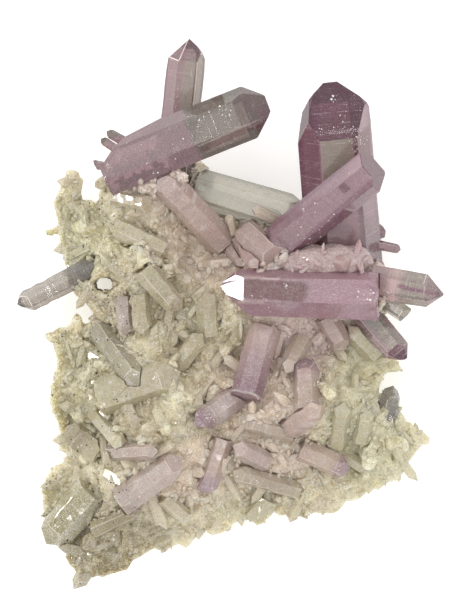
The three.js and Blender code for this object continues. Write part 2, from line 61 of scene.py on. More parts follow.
def linear(red: int, green: int, blue: int) -> Colour:
    """A colour picked on a screen, 0 to 255, as the linear values that shaders take.

    Args:
        red: The red share of the colour as seen.
        green: The green share.
        blue: The blue share.

    Returns:
        The linear colour with full opacity.
    """
    shares = [value / 255 for value in (red, green, blue)]
    lit = [share / 12.92 if share <= 0.04045 else ((share + 0.055) / 1.055) ** 2.4 for share in shares]
    return (lit[0], lit[1], lit[2], 1.0)


class Tone(Enum):
    """The colours of the specimen, as seen in soft daylight."""

    CREAM = (220, 210, 174)
    LIME_CREAM = (216, 210, 172)
    BEIGE = (194, 179, 144)
    KHAKI = (142, 127, 82)
    PALE_GREEN = (178, 171, 126)
    OLIVE = (146, 132, 90)
    PINK_BEIGE = (222, 197, 178)
    LILAC_MIST = (226, 199, 194)
    LILAC_PINK = (220, 188, 188)
    DUSK = (160, 130, 135)
    SPECK = (34, 26, 18)
    GREY_WINDOW = (146, 134, 122)
    PALE_GREY = (192, 188, 180)
    GREEN_GREY = (228, 228, 216)
    HEATHER = (164, 131, 141)
    MAUVE = (178, 148, 156)
    PURPLE = (124, 76, 98)
    PLUM = (98, 14, 54)
    DEEP_PURPLE = (88, 30, 58)
    ROSE = (204, 176, 172)
    WINE = (116, 70, 70)
    DEEP_WINE = (104, 44, 40)
    MILKY_ROSE = (178, 140, 150)
    SMOKE = (122, 112, 102)
    WARM_GREY = (158, 147, 137)
    BROWN = (160, 144, 114)
    GLASS = (230, 224, 206)
    ROSE_GLASS = (220, 196, 190)
    LILAC_GLASS = (212, 194, 192)
    # Glint white: the colour of painted glints, painted sparkle, painted edge lines and painted crack reflections;
    # also of pale scratches.
    GLINT = (252, 248, 246)

    def linear(self) -> Colour:
        """The tone as linear values."""
        return linear(*self.value)


class Graph:
    """The nodes of one material, added and wired in reading order."""

    def __init__(self, name: str) -> None:
        """Starts an empty material.

        Args:
            name: The material's name.
        """
        self.material = bpy.data.materials.new(name)
        self.material.use_nodes = True
        self.tree = self.material.node_tree
        self.tree.nodes.clear()
        self.output = self.tree.nodes.new("ShaderNodeOutputMaterial")

    def put(self, socket: bpy.types.NodeSocket, value: Value) -> None:
        """Links a socket to another, or sets its value.

        Args:
            socket: The input to feed.
            value: An output to link, or a plain value.
        """
        if isinstance(value, bpy.types.NodeSocket):
            self.tree.links.new(value, socket)
        else:
            socket.default_value = value

    def add(self, kind: str, settings: dict[str, object] | None = None, **inputs: Value) -> bpy.types.Node:
        """Adds a node.

        Args:
            kind: The node's type without its ShaderNode prefix.
            settings: The node's own properties.
            inputs: Its inputs by name, with _ for a space.

        Returns:
            The new node.
        """
        node = self.tree.nodes.new("ShaderNode" + kind)
        for key, value in (settings or {}).items():
            setattr(node, key, value)
        for key, value in inputs.items():
            self.put(node.inputs[key.replace("_", " ")], value)
        return node

    def math(self, operation: str, first: Value, second: Value = 0.0) -> bpy.types.NodeSocket:
        """One step of arithmetic.

        Args:
            operation: The name of the operation.
            first: Its first number.
            second: Its second number, where it has one.

        Returns:
            The result.
        """
        node = self.add("Math", {"operation": operation})
        self.put(node.inputs[0], first)
        self.put(node.inputs[1], second)
        return node.outputs[0]

    def mix(self, share: Value, first: Value, second: Value, mode: str = "MIX") -> bpy.types.NodeSocket:
        """Mixes two colours.

        Args:
            share: How much of the second colour shows, 0 to 1.
            first: The colour at 0.
            second: The colour at 1.
            mode: The blend mode.

        Returns:
            The mixed colour.
        """
        node = self.add("Mix", {"data_type": "RGBA", "blend_type": mode})
        self.put(node.inputs[0], share)
        self.put(node.inputs[6], first)
        self.put(node.inputs[7], second)
        return node.outputs[2]

    def step(self, value: Value, low: float, high: float, to: tuple[float, float] = (0, 1)) -> bpy.types.NodeSocket:
        """A smooth step.

        Args:
            value: The number that is read.
            low: Where the step starts.
            high: Where it ends.
            to: The results before and after it.

        Returns:
            The smoothed result.
        """
        node = self.add("MapRange", {"interpolation_type": "SMOOTHSTEP"}, Value=value)
        for key, number in (("From Min", low), ("From Max", high), ("To Min", to[0]), ("To Max", to[1])):
            node.inputs[key].default_value = number
        return node.outputs[0]

    def band(self, value: Value, start: float, end: float, soft: float) -> bpy.types.NodeSocket:
        """A mask that is 1 between two values and fades out past them.

        Args:
            value: The number that is read.
            start: Where the band begins.
            end: Where it ends.
            soft: Half the width of each fade.

        Returns:
            The mask, 0 to 1.
        """
        rise = self.step(value, start - soft, start + soft)
        return self.math("MULTIPLY", rise, self.step(value, end - soft, end + soft, (1, 0)))

    def grain(self, place: Value, size: float, detail: float = 3.0) -> bpy.types.NodeSocket:
        """Soft random variation.

        Args:
            place: The coordinates that are read.
            size: The size of its blotches in metres.
            detail: How many finer layers it has.

        Returns:
            A number about 0.5, from 0 to 1.
        """
        node = self.add("TexNoise", Vector=place, Scale=1 / size, Detail=detail, Roughness=0.6)
        return node.outputs["Fac"]

    def finish(self, surface: bpy.types.Node, volume: bpy.types.Node | None = None) -> bpy.types.Material:
        """Wires the shaders to the output.

        Args:
            surface: The surface shader.
            volume: The volume shader, where there is one.

        Returns:
            The finished material.
        """
        self.tree.links.new(surface.outputs[0], self.output.inputs["Surface"])
        if volume is not None:
            self.tree.links.new(volume.outputs[0], self.output.inputs["Volume"])
        return self.material


@dataclass(frozen=True)
class Patch:
    """A soft round patch of the plate with a colour of its own, in millimetres on the plate."""

    x: float
    y: float
    radius: float
    tone: Tone
    strength: float = 1.0


PATCHES = (
    Patch(8, 10, 15, Tone.LILAC_PINK, 0.8),
    Patch(24, 8, 14, Tone.LILAC_PINK, 0.95),
    Patch(-14, 27, 12, Tone.LILAC_MIST, 0.8),
    Patch(-6, 14, 12, Tone.PINK_BEIGE, 0.8),
    Patch(4, -16, 14, Tone.PINK_BEIGE, 0.75),
    Patch(10, -26, 14, Tone.PINK_BEIGE, 0.85),
    Patch(-4, -32, 11, Tone.PINK_BEIGE, 0.7),
    Patch(-14, -34, 10, Tone.PINK_BEIGE, 0.5),
    Patch(-32, 14, 15, Tone.PALE_GREEN, 0.9),
    Patch(-33, -14, 15, Tone.PALE_GREEN, 0.8),
    Patch(-36, -42, 14, Tone.PALE_GREEN, 0.8),
    Patch(-27, -50, 18, Tone.KHAKI, 1.0),
    Patch(14, -4, 13, Tone.LILAC_MIST, 0.9),
    Patch(30, -28, 16, Tone.LIME_CREAM, 0.9),
    Patch(28, -12, 12, Tone.LIME_CREAM, 0.8),
    Patch(2, -42, 10, Tone.LIME_CREAM, 0.6),
    Patch(-20, 2, 13, Tone.KHAKI, 0.55),
    Patch(-10, -10, 8, Tone.BEIGE, 0.5),
)


def plate_colour(graph: Graph, place: bpy.types.NodeSocket) -> bpy.types.NodeSocket:
    """The drifting colour of the pale quartz over the plate.

    Args:
        graph: The material that is made.
        place: Its object coordinates.

    Returns:
        The colour.
    """
    drift = graph.grain(place, 9 * MM, 4)
    colour = graph.mix(graph.step(drift, 0.38, 0.62), Tone.BEIGE.linear(), Tone.CREAM.linear())
    bent = graph.add("VectorMath", {"operation": "MULTIPLY_ADD"})
    graph.put(bent.inputs[0], graph.add("TexNoise", Vector=place, Scale=120.0, Detail=2.0).outputs["Color"])
    bent.inputs[1].default_value = (8 * MM, 8 * MM, 0)
    graph.put(bent.inputs[2], place)
    flat = graph.add("VectorMath", {"operation": "MULTIPLY"})
    graph.put(flat.inputs[0], bent.outputs[0])
    flat.inputs[1].default_value = (1, 1, 0)
    for patch in PATCHES:
        away = graph.add("VectorMath", {"operation": "DISTANCE"})
        graph.put(away.inputs[0], flat.outputs[0])
        away.inputs[1].default_value = ((patch.x + 4) * MM, (patch.y + 4) * MM, 0)
        share = graph.step(away.outputs["Value"], 0.35 * patch.radius * MM, patch.radius * MM, (patch.strength, 0))
        colour = graph.mix(share, colour, patch.tone.linear())
    return colour


def grain_and_painted_glints(graph: Graph, place: bpy.types.NodeSocket, colour: Value, depth: float, dark: Tone) -> Value:
    """Fine grain in two tones: dark grains, and light grains painted towards glint white, partly pale grain and partly
    painted sparkle.

    Args:
        graph: The material that is made.
        place: Its object coordinates.
        colour: The colour without the grain.
        depth: How strong the grain is, 0 to 1.
        dark: The colour of its dark grains.

    Returns:
        The colour with the grain.
    """
    fine = graph.grain(place, 0.3 * MM, 2)
    # Light grains: painted sparkle in glint white, partly pale grain.
    colour = graph.mix(graph.step(fine, 0.5, 0.62, (0, 1.3 * depth)), colour, Tone.GLINT.linear())
    return graph.mix(graph.step(fine, 0.5, 0.36, (0, 0.8 * depth)), colour, dark.linear())


def facets(
    graph: Graph, place: bpy.types.NodeSocket, size: float, tilt: float
) -> tuple[bpy.types.NodeSocket, bpy.types.NodeSocket]:
    """Small flat faces, each tilted its own way.

    Args:
        graph: The material that is made.
        place: Its object coordinates.
        size: The size of the faces in millimetres.
        tilt: How steep they are.

    Returns:
        Their height in metres, and a random colour for each face.
    """
    cells = graph.add("TexVoronoi", Vector=place, Scale=1 / (size * MM), Randomness=1.0)
    lean = graph.add("VectorMath", {"operation": "SUBTRACT"})
    graph.put(lean.inputs[0], cells.outputs["Color"])
    lean.inputs[1].default_value = (0.5, 0.5, 0.5)
    from_middle = graph.add("VectorMath", {"operation": "SUBTRACT"})
    graph.put(from_middle.inputs[0], place)
    graph.put(from_middle.inputs[1], cells.outputs["Position"])
    slope = graph.add("VectorMath", {"operation": "DOT_PRODUCT"})
    graph.put(slope.inputs[0], lean.outputs[0])
    graph.put(slope.inputs[1], from_middle.outputs[0])
    return graph.math("MULTIPLY", slope.outputs["Value"], tilt), cells.outputs["Color"]


def specks(graph: Graph, place: bpy.types.NodeSocket, cell: float = 0.62) -> bpy.types.NodeSocket:
    """The mask of the fine dark specks in the pale quartz, in clumps and mostly on the left.

    Args:
        graph: The material that is made.
        place: Its object coordinates.
        cell: The size of the cells that hold a speck each, in millimetres.

    Returns:
        The mask, 1 in a speck.
    """
    cells = graph.add("TexVoronoi", Vector=place, Scale=1 / (cell * MM), Randomness=1.0)
    pick = graph.add("SeparateColor", Color=cells.outputs["Color"])
    size = graph.step(pick.outputs[1], 0.0, 1.0, (0.08, 0.3))
    dot = graph.step(graph.math("SUBTRACT", cells.outputs["Distance"], size), 0.0, 0.06, (1, 0))
    chosen = graph.step(pick.outputs[0], 0.45, 0.5)
    parts = graph.add("SeparateXYZ", Vector=place)
    left = graph.step(parts.outputs[0], -10 * MM, -24 * MM)
    clump = graph.step(graph.grain(place, 6 * MM, 3), 0.47, 0.56)
    where = graph.math("MULTIPLY", clump, graph.math("MAXIMUM", left, 0.2))
    return graph.math("MULTIPLY", graph.math("MULTIPLY", dot, chosen), where)


@dataclass(frozen=True)
class Zone:
    """A part of a crystal with a colour of its own.

    Along runs from 0 at the root to 1 at the tip, and across from -1 on the left to 1 on the right, seen
    with the tip up.
    """

    tone: Tone
    along: tuple[float, float] = (-1, 2)
    across: tuple[float, float] = (-2, 2)
    soft: float = 0.03
    strength: float = 1.0


@dataclass(frozen=True)
class QuartzFinish:
    """Clear, lilac or purple quartz with colour zones, growth lines and faint clouds."""

    name: str
    body: Tone
    zones: tuple[Zone, ...] = ()
    transmission: float = 0.8
    roughness: float = 0.06
    haze: Tone = Tone.PALE_GREY
    haze_share: float = 0.25
    absorbs: Tone = Tone.ROSE
    density: float = 30.0
    lines: float = 0.25
    wave: float = 0.12
    wobble: float = 0.06
    grain: float = 0.14
    shade: Tone = Tone.HEATHER
    ground: float = 0.0
    streaks: float = 0.5
    stria_glints: float = 0.3
    milk: float = 0.0
    crack_reflection: float = 0.06
    crown: Tone = Tone.PURPLE
    crowned: float = 0.0

    def crack_reflections(self, graph: Graph, local: bpy.types.NodeSocket) -> bpy.types.NodeSocket:
        """The mask of the healed cracks inside the crystal, which are painted white as a painted reflection.

        Args:
            graph: The material that is made.
            local: The place on the crystal in millimetres: across, along and up.

        Returns:
            The mask, 1 in a crack.
        """
        bent = graph.add("VectorMath", {"operation": "MULTIPLY_ADD"})
        graph.put(bent.inputs[0], graph.add("TexNoise", Vector=local, Scale=0.8, Detail=3.0).outputs["Color"])
        bent.inputs[1].default_value = (2.4, 2.4, 2.4)
        graph.put(bent.inputs[2], local)
        drawn = graph.add("VectorMath", {"operation": "MULTIPLY"})
        graph.put(drawn.inputs[0], bent.outputs[0])
        drawn.inputs[1].default_value = (1.1, 0.34, 1.1)
        cracks = graph.add("TexVoronoi", {"feature": "DISTANCE_TO_EDGE"}, Vector=drawn.outputs[0], Scale=1.0)
        patchy = graph.add("TexNoise", Vector=local, Scale=0.6, Detail=2.0).outputs["Fac"]
        thin = graph.step(cracks.outputs["Distance"], 0.01, 0.06, (1, 0))
        return graph.math("MULTIPLY", thin, graph.step(patchy, 0.45, 0.6))

    def scratches(self, graph: Graph, local: bpy.types.NodeSocket) -> bpy.types.NodeSocket:
        """The mask of the fine pale scratches along the crystal.

        Args:
            graph: The material that is made.
            local: The place on the crystal in millimetres: across, along and up.

        Returns:
            The mask, 1 in a scratch.
        """
        drawn = graph.add("VectorMath", {"operation": "MULTIPLY"})
        graph.put(drawn.inputs[0], local)
        drawn.inputs[1].default_value = (5.0, 0.7, 5.0)
        fine = graph.add("TexNoise", Vector=drawn.outputs[0], Scale=1.0, Detail=1.0).outputs["Fac"]
        patchy = graph.add("TexNoise", Vector=local, Scale=0.35, Detail=2.0).outputs["Fac"]
        return graph.math("MULTIPLY", graph.step(fine, 0.66, 0.74), graph.step(patchy, 0.45, 0.65))

    def material(self) -> bpy.types.Material:
        """The finish as a material.

        Returns:
            The material; a second call gives the same one.
        """
        found = bpy.data.materials.get(self.name)
        if found is not None:
            return found
        graph = Graph(self.name)
        place = graph.add("TexCoord").outputs["Object"]
        grow = graph.add("Attribute", {"attribute_name": "grow"}).outputs["Vector"]
        parts = graph.add("SeparateXYZ", Vector=grow)
        stir = graph.math("MULTIPLY", graph.math("SUBTRACT", graph.grain(place, 3 * MM), 0.5), 2 * self.wobble)
        across = graph.math("ADD", parts.outputs[0], graph.math("MULTIPLY", stir, 2.0))
        along = graph.math("ADD", parts.outputs[1], stir)
        colour = self.body.linear()
        if self.ground:
            colour = graph.mix(self.ground, colour, plate_colour(graph, place))
        cloud = graph.step(graph.grain(place, 1.1 * MM, 5), 0.45, 0.72, (0, self.haze_share))
        colour = graph.mix(cloud, colour, self.haze.linear())
        for zone in self.zones:
            mask = graph.band(along, *zone.along, zone.soft)
            if zone.across != (-2, 2):
                mask = graph.math("MULTIPLY", mask, graph.band(across, *zone.across, 2 * zone.soft))
            colour = graph.mix(graph.math("MULTIPLY", mask, zone.strength), colour, zone.tone.linear())
        if self.crowned:
            end = graph.add("Attribute", {"attribute_name": "crown"}).outputs["Fac"]
            colour = graph.mix(graph.math("MULTIPLY", end, self.crowned), colour, self.crown.linear())
        colour = grain_and_painted_glints(graph, place, colour, self.grain, self.shade)
        local = graph.add("Attribute", {"attribute_name": "local"}).outputs["Vector"]
        scratch = graph.math("MULTIPLY", self.scratches(graph, local), self.streaks)
        colour = graph.mix(scratch, colour, Tone.GLINT.linear())
        # Healed cracks painted glint white: the cracks are real, their white is a painted reflection.
        crack = graph.math("MULTIPLY", self.crack_reflections(graph, local), self.crack_reflection)
        colour = graph.mix(crack, colour, Tone.GLINT.linear())
        if self.ground:
            colour = graph.mix(specks(graph, place), colour, Tone.SPECK.linear())
        # White along the growth lines: painted glints on the striations, in glint white.
        span = graph.add("SeparateXYZ", Vector=local).outputs[1]
        line = graph.add("TexNoise", {"noise_dimensions": "1D"}, W=span, Scale=2.4, Detail=3.0).outputs["Fac"]
        broken = graph.step(graph.grain(place, 2.4 * MM, 3), 0.42, 0.62)
        stria_glint = graph.math("MULTIPLY", graph.step(line, 0.56, 0.66), graph.math("MULTIPLY", broken, self.stria_glints))
        colour = graph.mix(stria_glint, colour, Tone.GLINT.linear())
        pits = graph.grain(place, 0.5 * MM, 2)
        wave = graph.grain(place, 1.8 * MM, 2)
        relief = graph.math("ADD", graph.math("MULTIPLY", line, self.lines), graph.math("MULTIPLY", pits, 0.2))
        relief = graph.math("ADD", relief, graph.math("MULTIPLY", wave, self.wave))
        bump = graph.add("Bump", Strength=0.5, Distance=0.07 * MM, Height=relief)
        rough = graph.step(graph.grain(place, 1.6 * MM, 4), 0.4, 0.7, (self.roughness, self.roughness + 0.08))
        shader = graph.add(
            "BsdfPrincipled", Base_Color=colour, Roughness=rough, IOR=1.544, Transmission_Weight=self.transmission,
            Normal=bump.outputs[0], Specular_IOR_Level=0.6, Subsurface_Weight=self.milk,
            Subsurface_Radius=(1.0, 0.95, 0.85), Subsurface_Scale=0.8 * MM,
        )
        volume = graph.add("VolumeAbsorption", Color=self.absorbs.linear(), Density=self.density)
        return graph.finish(shader, volume)


@dataclass(frozen=True)
class DruseFinish:
    """Small translucent crystals in the drifting colours of the plate, each with a tint of its own."""

    name: str = "druse_quartz"
    body: Tone = Tone.GLASS
    ground: float = 0.75
    transmission: float = 0.3
    roughness: float = 0.12
    grain: float = 0.28
    shade: Tone = Tone.OLIVE

    def material(self) -> bpy.types.Material:
        """The finish as a material.

        Returns:
            The material.
        """
        graph = Graph(self.name)
        place = graph.add("TexCoord").outputs["Object"]
        tint = graph.add("Attribute", {"attribute_name": "tint"}).outputs["Fac"]
        colour = graph.mix(self.ground, self.body.linear(), plate_colour(graph, place))
        colour = graph.mix(graph.step(tint, 0.8, 1.0, (0, 0.15)), colour, Tone.ROSE_GLASS.linear())
        colour = graph.mix(graph.step(tint, 0.35, 0.0, (0, 0.25)), colour, Tone.GLASS.linear())
        colour = grain_and_painted_glints(graph, place, colour, self.grain, self.shade)
        colour = graph.mix(specks(graph, place), colour, Tone.SPECK.linear())
        bump = graph.add("Bump", Strength=0.5, Distance=0.05 * MM, Height=graph.grain(place, 0.5 * MM, 3))
        shader = graph.add(
            "BsdfPrincipled", Base_Color=colour, Roughness=self.roughness, IOR=1.544,
            Transmission_Weight=self.transmission, Normal=bump.outputs[0], Specular_IOR_Level=0.6,
            Subsurface_Weight=0.6, Subsurface_Radius=(1.0, 0.95, 0.85), Subsurface_Scale=0.6 * MM,
        )
        return graph.finish(shader)


@dataclass(frozen=True)
class PaintedGlintFinish:
    """A white or pale colour painted on tiny flakes and on rounded edge strips: a painted glint and painted edge
    highlight.
    """

    name: str = "white_glint"
    brightest: Tone = Tone.GLINT
    dullest: Tone = Tone.GLASS

    def material(self) -> bpy.types.Material:
        """The finish as a material.

        Returns:
            The material; a second call gives the same one.
        """
        found = bpy.data.materials.get(self.name)
        if found is not None:
            return found
        graph = Graph(self.name)
        place = graph.add("TexCoord").outputs["Object"]
        share = graph.step(graph.grain(place, 0.5 * MM, 3), 0.4, 0.6, (0.0, 1.0))
        colour = graph.mix(share, self.brightest.linear(), self.dullest.linear())
        shader = graph.add(
            "BsdfPrincipled", Base_Color=colour, Roughness=0.15, IOR=1.544, Transmission_Weight=0.25,
            Specular_IOR_Level=1.0,
        )
        return graph.finish(shader)


@dataclass(frozen=True)
class RockFinish:
    """Massive sugary quartz: cream to olive, with glassy grains and clusters of fine dark specks."""

    name: str = "sugary_quartz"
    grain: float = 0.55
    face: float = 2.4

    def material(self) -> bpy.types.Material:
        """The finish as a material.

        Returns:
            The material.
        """
        graph = Graph(self.name)
        place = graph.add("TexCoord").outputs["Object"]
        colour = plate_colour(graph, place)
        blotch = graph.step(graph.grain(place, 2.2 * MM, 5), 0.42, 0.66, (0, 0.2))
        colour = graph.mix(blotch, colour, Tone.BROWN.linear())
        sugar, shades = facets(graph, place, self.grain, 0.8)
        broken, tones = facets(graph, place, self.face, 0.7)
        pick = graph.add("SeparateColor", Color=shades)
        shade = graph.add("SeparateColor", Color=tones)
        colour = graph.mix(graph.step(pick.outputs[0], 0.5, 1.0, (0, 0.4)), colour, Tone.CREAM.linear())
        colour = graph.mix(graph.step(shade.outputs[1], 0.3, 1.0, (0, 0.35)), colour, Tone.GLASS.linear())
        # Olive is mixed in where the surface lies deeper than its smoothed shape, in the hollows.
        cavity = graph.add("Attribute", {"attribute_name": "cavity"}).outputs["Fac"]
        colour = graph.mix(graph.step(cavity, 0.1, 1.0, (0, 0.25)), colour, Tone.OLIVE.linear())
        colour = grain_and_painted_glints(graph, place, colour, 0.28, Tone.OLIVE)
        colour = graph.mix(specks(graph, place), colour, Tone.SPECK.linear())
        fine = graph.math("MULTIPLY", graph.grain(place, 0.25 * MM, 4), 0.06 * MM)
        height = graph.math("ADD", graph.math("ADD", sugar, broken), fine)
        bump = graph.add("Bump", Strength=1.0, Distance=1.0, Height=height)
        rough = graph.step(pick.outputs[2], 0.0, 1.0, (0.12, 0.6))
        shader = graph.add(
            "BsdfPrincipled", Base_Color=colour, Roughness=rough, IOR=1.544, Normal=bump.outputs[0],
            Subsurface_Weight=0.8, Subsurface_Radius=(1.0, 0.94, 0.8), Subsurface_Scale=3.0 * MM,
        )
        return graph.finish(shader)


@dataclass(frozen=True)
class FloorFinish:
    """A plain near-white studio floor."""

    name: str = "studio_white"

    def material(self) -> bpy.types.Material:
        """The finish as a material.

        Returns:
            The material.
        """
        graph = Graph(self.name)
        place = graph.add("TexCoord").outputs["Object"]
        colour = graph.mix(graph.grain(place, 0.4, 2), linear(246, 246, 245), linear(250, 250, 250))
        shader = graph.add(
            "BsdfPrincipled", Base_Color=colour, Roughness=0.9, Specular_IOR_Level=0.1, Emission_Color=colour,
            Emission_Strength=0.25,
        )
        return graph.finish(shader)


TIP = Tone.DEEP_PURPLE


class Quartz(Enum):
    """The finishes of the crystals, named for where they show."""

    TALL = QuartzFinish(
        "tall_quartz", Tone.MAUVE,
        (
            Zone(Tone.PURPLE, across=(-2, -0.45), strength=0.95),
            Zone(Tone.GREY_WINDOW, along=(0.5, 0.77), across=(-0.42, 0.38), soft=0.012, strength=0.95),
            Zone(Tone.WINE, along=(0.55, 0.77), across=(0.4, 0.85), soft=0.02, strength=0.8),
            Zone(Tone.HEATHER, along=(0.3, 0.55), across=(0.4, 0.9), soft=0.03, strength=0.8),
            Zone(Tone.PALE_GREY, along=(0.3, 0.8), across=(0.93, 2), soft=0.01, strength=0.7),
            # A thin pale line at the edge of the crown: a painted edge highlight.
            Zone(Tone.ROSE_GLASS, along=(0.765, 0.775), across=(-0.5, 0.3), soft=0.003, strength=0.6),
            Zone(Tone.DUSK, along=(-1, 0.33), soft=0.06, strength=0.9),
        ),
        transmission=0.5, wobble=0.012, density=40.0, shade=Tone.PURPLE, stria_glints=0.15, haze_share=0.05,
        crown=TIP, crowned=0.95, grain=0.06, streaks=0.2, crack_reflection=0.0,
    )
    LEANING = QuartzFinish(
        "leaning_quartz", Tone.HEATHER,
        (
            Zone(Tone.DUSK, along=(-1, 0.35), soft=0.15, strength=0.7),
            Zone(Tone.PURPLE, across=(0.35, 0.9), strength=0.6),
            Zone(Tone.PURPLE, across=(-2, -0.75), strength=0.5),
            Zone(TIP, along=(0.74, 0.8), across=(-0.3, 0.1), soft=0.008, strength=0.6),
        ),
        haze=Tone.ROSE_GLASS, wobble=0.02, transmission=0.4, density=40.0, streaks=0.5, haze_share=0.15, shade=TIP,
        crown=Tone.PLUM, crowned=0.95, grain=0.07, stria_glints=0.06,
    )
    FRONT = QuartzFinish(
        "front_quartz", Tone.HEATHER,
        (
            Zone(Tone.MILKY_ROSE, along=(-1, 0.42), soft=0.08, strength=0.9),
            Zone(Tone.MILKY_ROSE, across=(0.5, 2), strength=0.8),
            Zone(Tone.DEEP_WINE, along=(0.46, 0.89), across=(-0.35, 0.4), soft=0.03, strength=0.8),
            Zone(Tone.MILKY_ROSE, across=(-2, -0.5), strength=0.7),
            # Thin pale lines along the two prism edges: painted edge highlights.
            Zone(Tone.ROSE_GLASS, along=(0.62, 0.9), across=(0.44, 0.54), soft=0.012, strength=0.8),
            Zone(Tone.ROSE_GLASS, along=(0.7, 0.88), across=(-0.54, -0.44), soft=0.012, strength=0.7),
        ),
        haze=Tone.LILAC_PINK, transmission=0.4, density=30.0, haze_share=0.3, wobble=0.05, shade=Tone.PURPLE,
        milk=0.4, grain=0.1, stria_glints=0.0, crack_reflection=0.16,
    )
    RIGHT = QuartzFinish(
        "right_quartz", Tone.WARM_GREY,
        (
            Zone(Tone.LILAC_PINK, along=(-1, 0.4), soft=0.1, strength=0.8),
            Zone(Tone.PURPLE, along=(0.4, 0.93), across=(-0.12, 0.1), soft=0.02, strength=0.9),
        ),
        transmission=0.6, crown=Tone.HEATHER, crowned=0.5,
    )
    LOWER_RIGHT = QuartzFinish(
        "lower_right_quartz", Tone.WARM_GREY,
        (
            Zone(Tone.MAUVE, across=(0.35, 2), strength=0.9),
            Zone(Tone.MAUVE, across=(-2, -0.6), strength=0.7),
            Zone(Tone.PURPLE, along=(0.84, 2), soft=0.02, strength=0.6),
        ),
        wobble=0.03, transmission=0.6, crown=Tone.PURPLE, crowned=0.9,
    )
    UPPER_LEFT = QuartzFinish(
        "upper_left_quartz", Tone.SMOKE,
        (
            Zone(Tone.DUSK, along=(-1, 0.54), soft=0.012, strength=0.95),
            Zone(Tone.HEATHER, along=(0.1, 0.54), across=(0.2, 2), soft=0.04, strength=0.5),
            Zone(Tone.SMOKE, across=(-2, -1.02), soft=0.01, strength=0.95),
            # A thin pale line along a prism edge: a painted edge highlight.
            Zone(Tone.ROSE_GLASS, along=(0.555, 0.93), across=(0.42, 0.47), soft=0.01, strength=0.5),
            Zone(Tone.WINE, along=(0.56, 0.94), across=(0.5, 0.7), soft=0.02, strength=0.7),
            Zone(Tone.PURPLE, along=(0.92, 2), across=(0.0, 2), soft=0.012, strength=0.5),
        ),
        wobble=0.012, transmission=0.6, stria_glints=0.15, haze_share=0.1, density=60.0, crown=Tone.PURPLE, crowned=0.25,
        grain=0.08, streaks=0.3,
    )
    BACK_TOP = QuartzFinish(
        "back_top_quartz", Tone.WARM_GREY,
        (
            Zone(Tone.DUSK, across=(-2, -0.15), soft=0.02, strength=0.85),
            Zone(Tone.HEATHER, across=(-2, -0.75), soft=0.02, strength=0.7),
            Zone(Tone.PURPLE, along=(0.92, 2), soft=0.03, strength=0.6),
        ),
        wobble=0.02, transmission=0.65, stria_glints=0.2, haze_share=0.1, density=50.0, crown=Tone.PURPLE, crowned=0.5,
        grain=0.08,
    )
    CLEAR = QuartzFinish(
        "clear_crystals", Tone.GLASS, transmission=0.55, haze_share=0.3, density=5.0, ground=0.7, milk=0.8,
        shade=Tone.GREY_WINDOW, stria_glints=0.5, grain=0.18, crack_reflection=0.9,
    )
    SMALL_CLEAR = QuartzFinish(
        "small_clear_quartz", Tone.PALE_GREY, transmission=0.75, haze_share=0.2, density=15.0, shade=Tone.SMOKE,
        stria_glints=0.5,
    )
    LEFT_RIM = QuartzFinish(
        "left_rim_quartz", Tone.WARM_GREY, (Zone(Tone.PALE_GREY, across=(0.0, 2), strength=0.6),), density=25.0,
        transmission=0.75, shade=Tone.SMOKE, stria_glints=0.5,
    )
    GREEN_GREY = QuartzFinish(
        "green_grey_quartz", Tone.GREEN_GREY, haze_share=0.3, transmission=0.6, density=6.0, ground=0.2,
        shade=Tone.GREY_WINDOW, milk=0.3,
    )
    GREEN_MILK = QuartzFinish(
        "green_milky_quartz", Tone.PALE_GREEN, (Zone(Tone.GLASS, across=(-2, -0.3), strength=0.4),),
        haze=Tone.CREAM, haze_share=0.4, transmission=0.4, density=6.0, ground=0.6, shade=Tone.OLIVE, milk=0.6,
        grain=0.35, crack_reflection=0.4,
    )
    PALE = QuartzFinish(
        "pale_crystals", Tone.GLASS,
        (Zone(Tone.CREAM, along=(-1, 0.5), soft=0.3, strength=0.4),),
        transmission=0.45, haze=Tone.CREAM, haze_share=0.5, absorbs=Tone.CREAM, density=5.0, roughness=0.06,
        ground=0.8, shade=Tone.KHAKI, milk=0.8, grain=0.2, crack_reflection=0.6,
    )
    BROWNISH = QuartzFinish(
        "brownish_quartz", Tone.CREAM,
        (Zone(Tone.BROWN, along=(0.3, 2), soft=0.2, strength=0.6),),
        transmission=0.5, haze=Tone.CREAM, haze_share=0.3, absorbs=Tone.CREAM, density=20.0, ground=0.5,
        shade=Tone.OLIVE, milk=0.5, stria_glints=0.6,
    )
    LILAC = QuartzFinish(
        "lilac_crystals", Tone.LILAC_GLASS, transmission=0.5, haze=Tone.LILAC_GLASS, haze_share=0.5, density=5.0,
        roughness=0.08, ground=0.4, milk=0.8, grain=0.18, crack_reflection=0.6,
    )
    ROSE = QuartzFinish(
        "rose_quartz", Tone.ROSE_GLASS, transmission=0.5, haze=Tone.ROSE, haze_share=0.5, density=6.0,
        roughness=0.08, ground=0.4, milk=0.8, grain=0.18, crack_reflection=0.6,
    )
    ROSE_TIP = QuartzFinish(
        "rose_tip_quartz", Tone.ROSE_GLASS, (Zone(Tone.MAUVE, along=(0.7, 2), soft=0.15, strength=0.9),),
        transmission=0.5, haze=Tone.PINK_BEIGE, haze_share=0.5, density=5.0, roughness=0.08, ground=0.4,
        milk=0.8, grain=0.18, crack_reflection=0.6,
    )
    PURPLE_STUB = QuartzFinish(
        "purple_stub_quartz", Tone.LILAC_MIST,
        (
            Zone(Tone.MAUVE, along=(0.35, 2), soft=0.25, strength=0.8),
            Zone(Tone.HEATHER, along=(0.75, 2), soft=0.15, strength=0.9),
            # A thin white band near the end of the crystal: a painted highlight on the rim.
            Zone(Tone.GLINT, along=(0.945, 0.965), soft=0.006, strength=0.7),
        ),
        transmission=0.5, haze=Tone.LILAC_MIST, ground=0.2, milk=0.4, wobble=0.02, density=10.0, grain=0.2,
    )
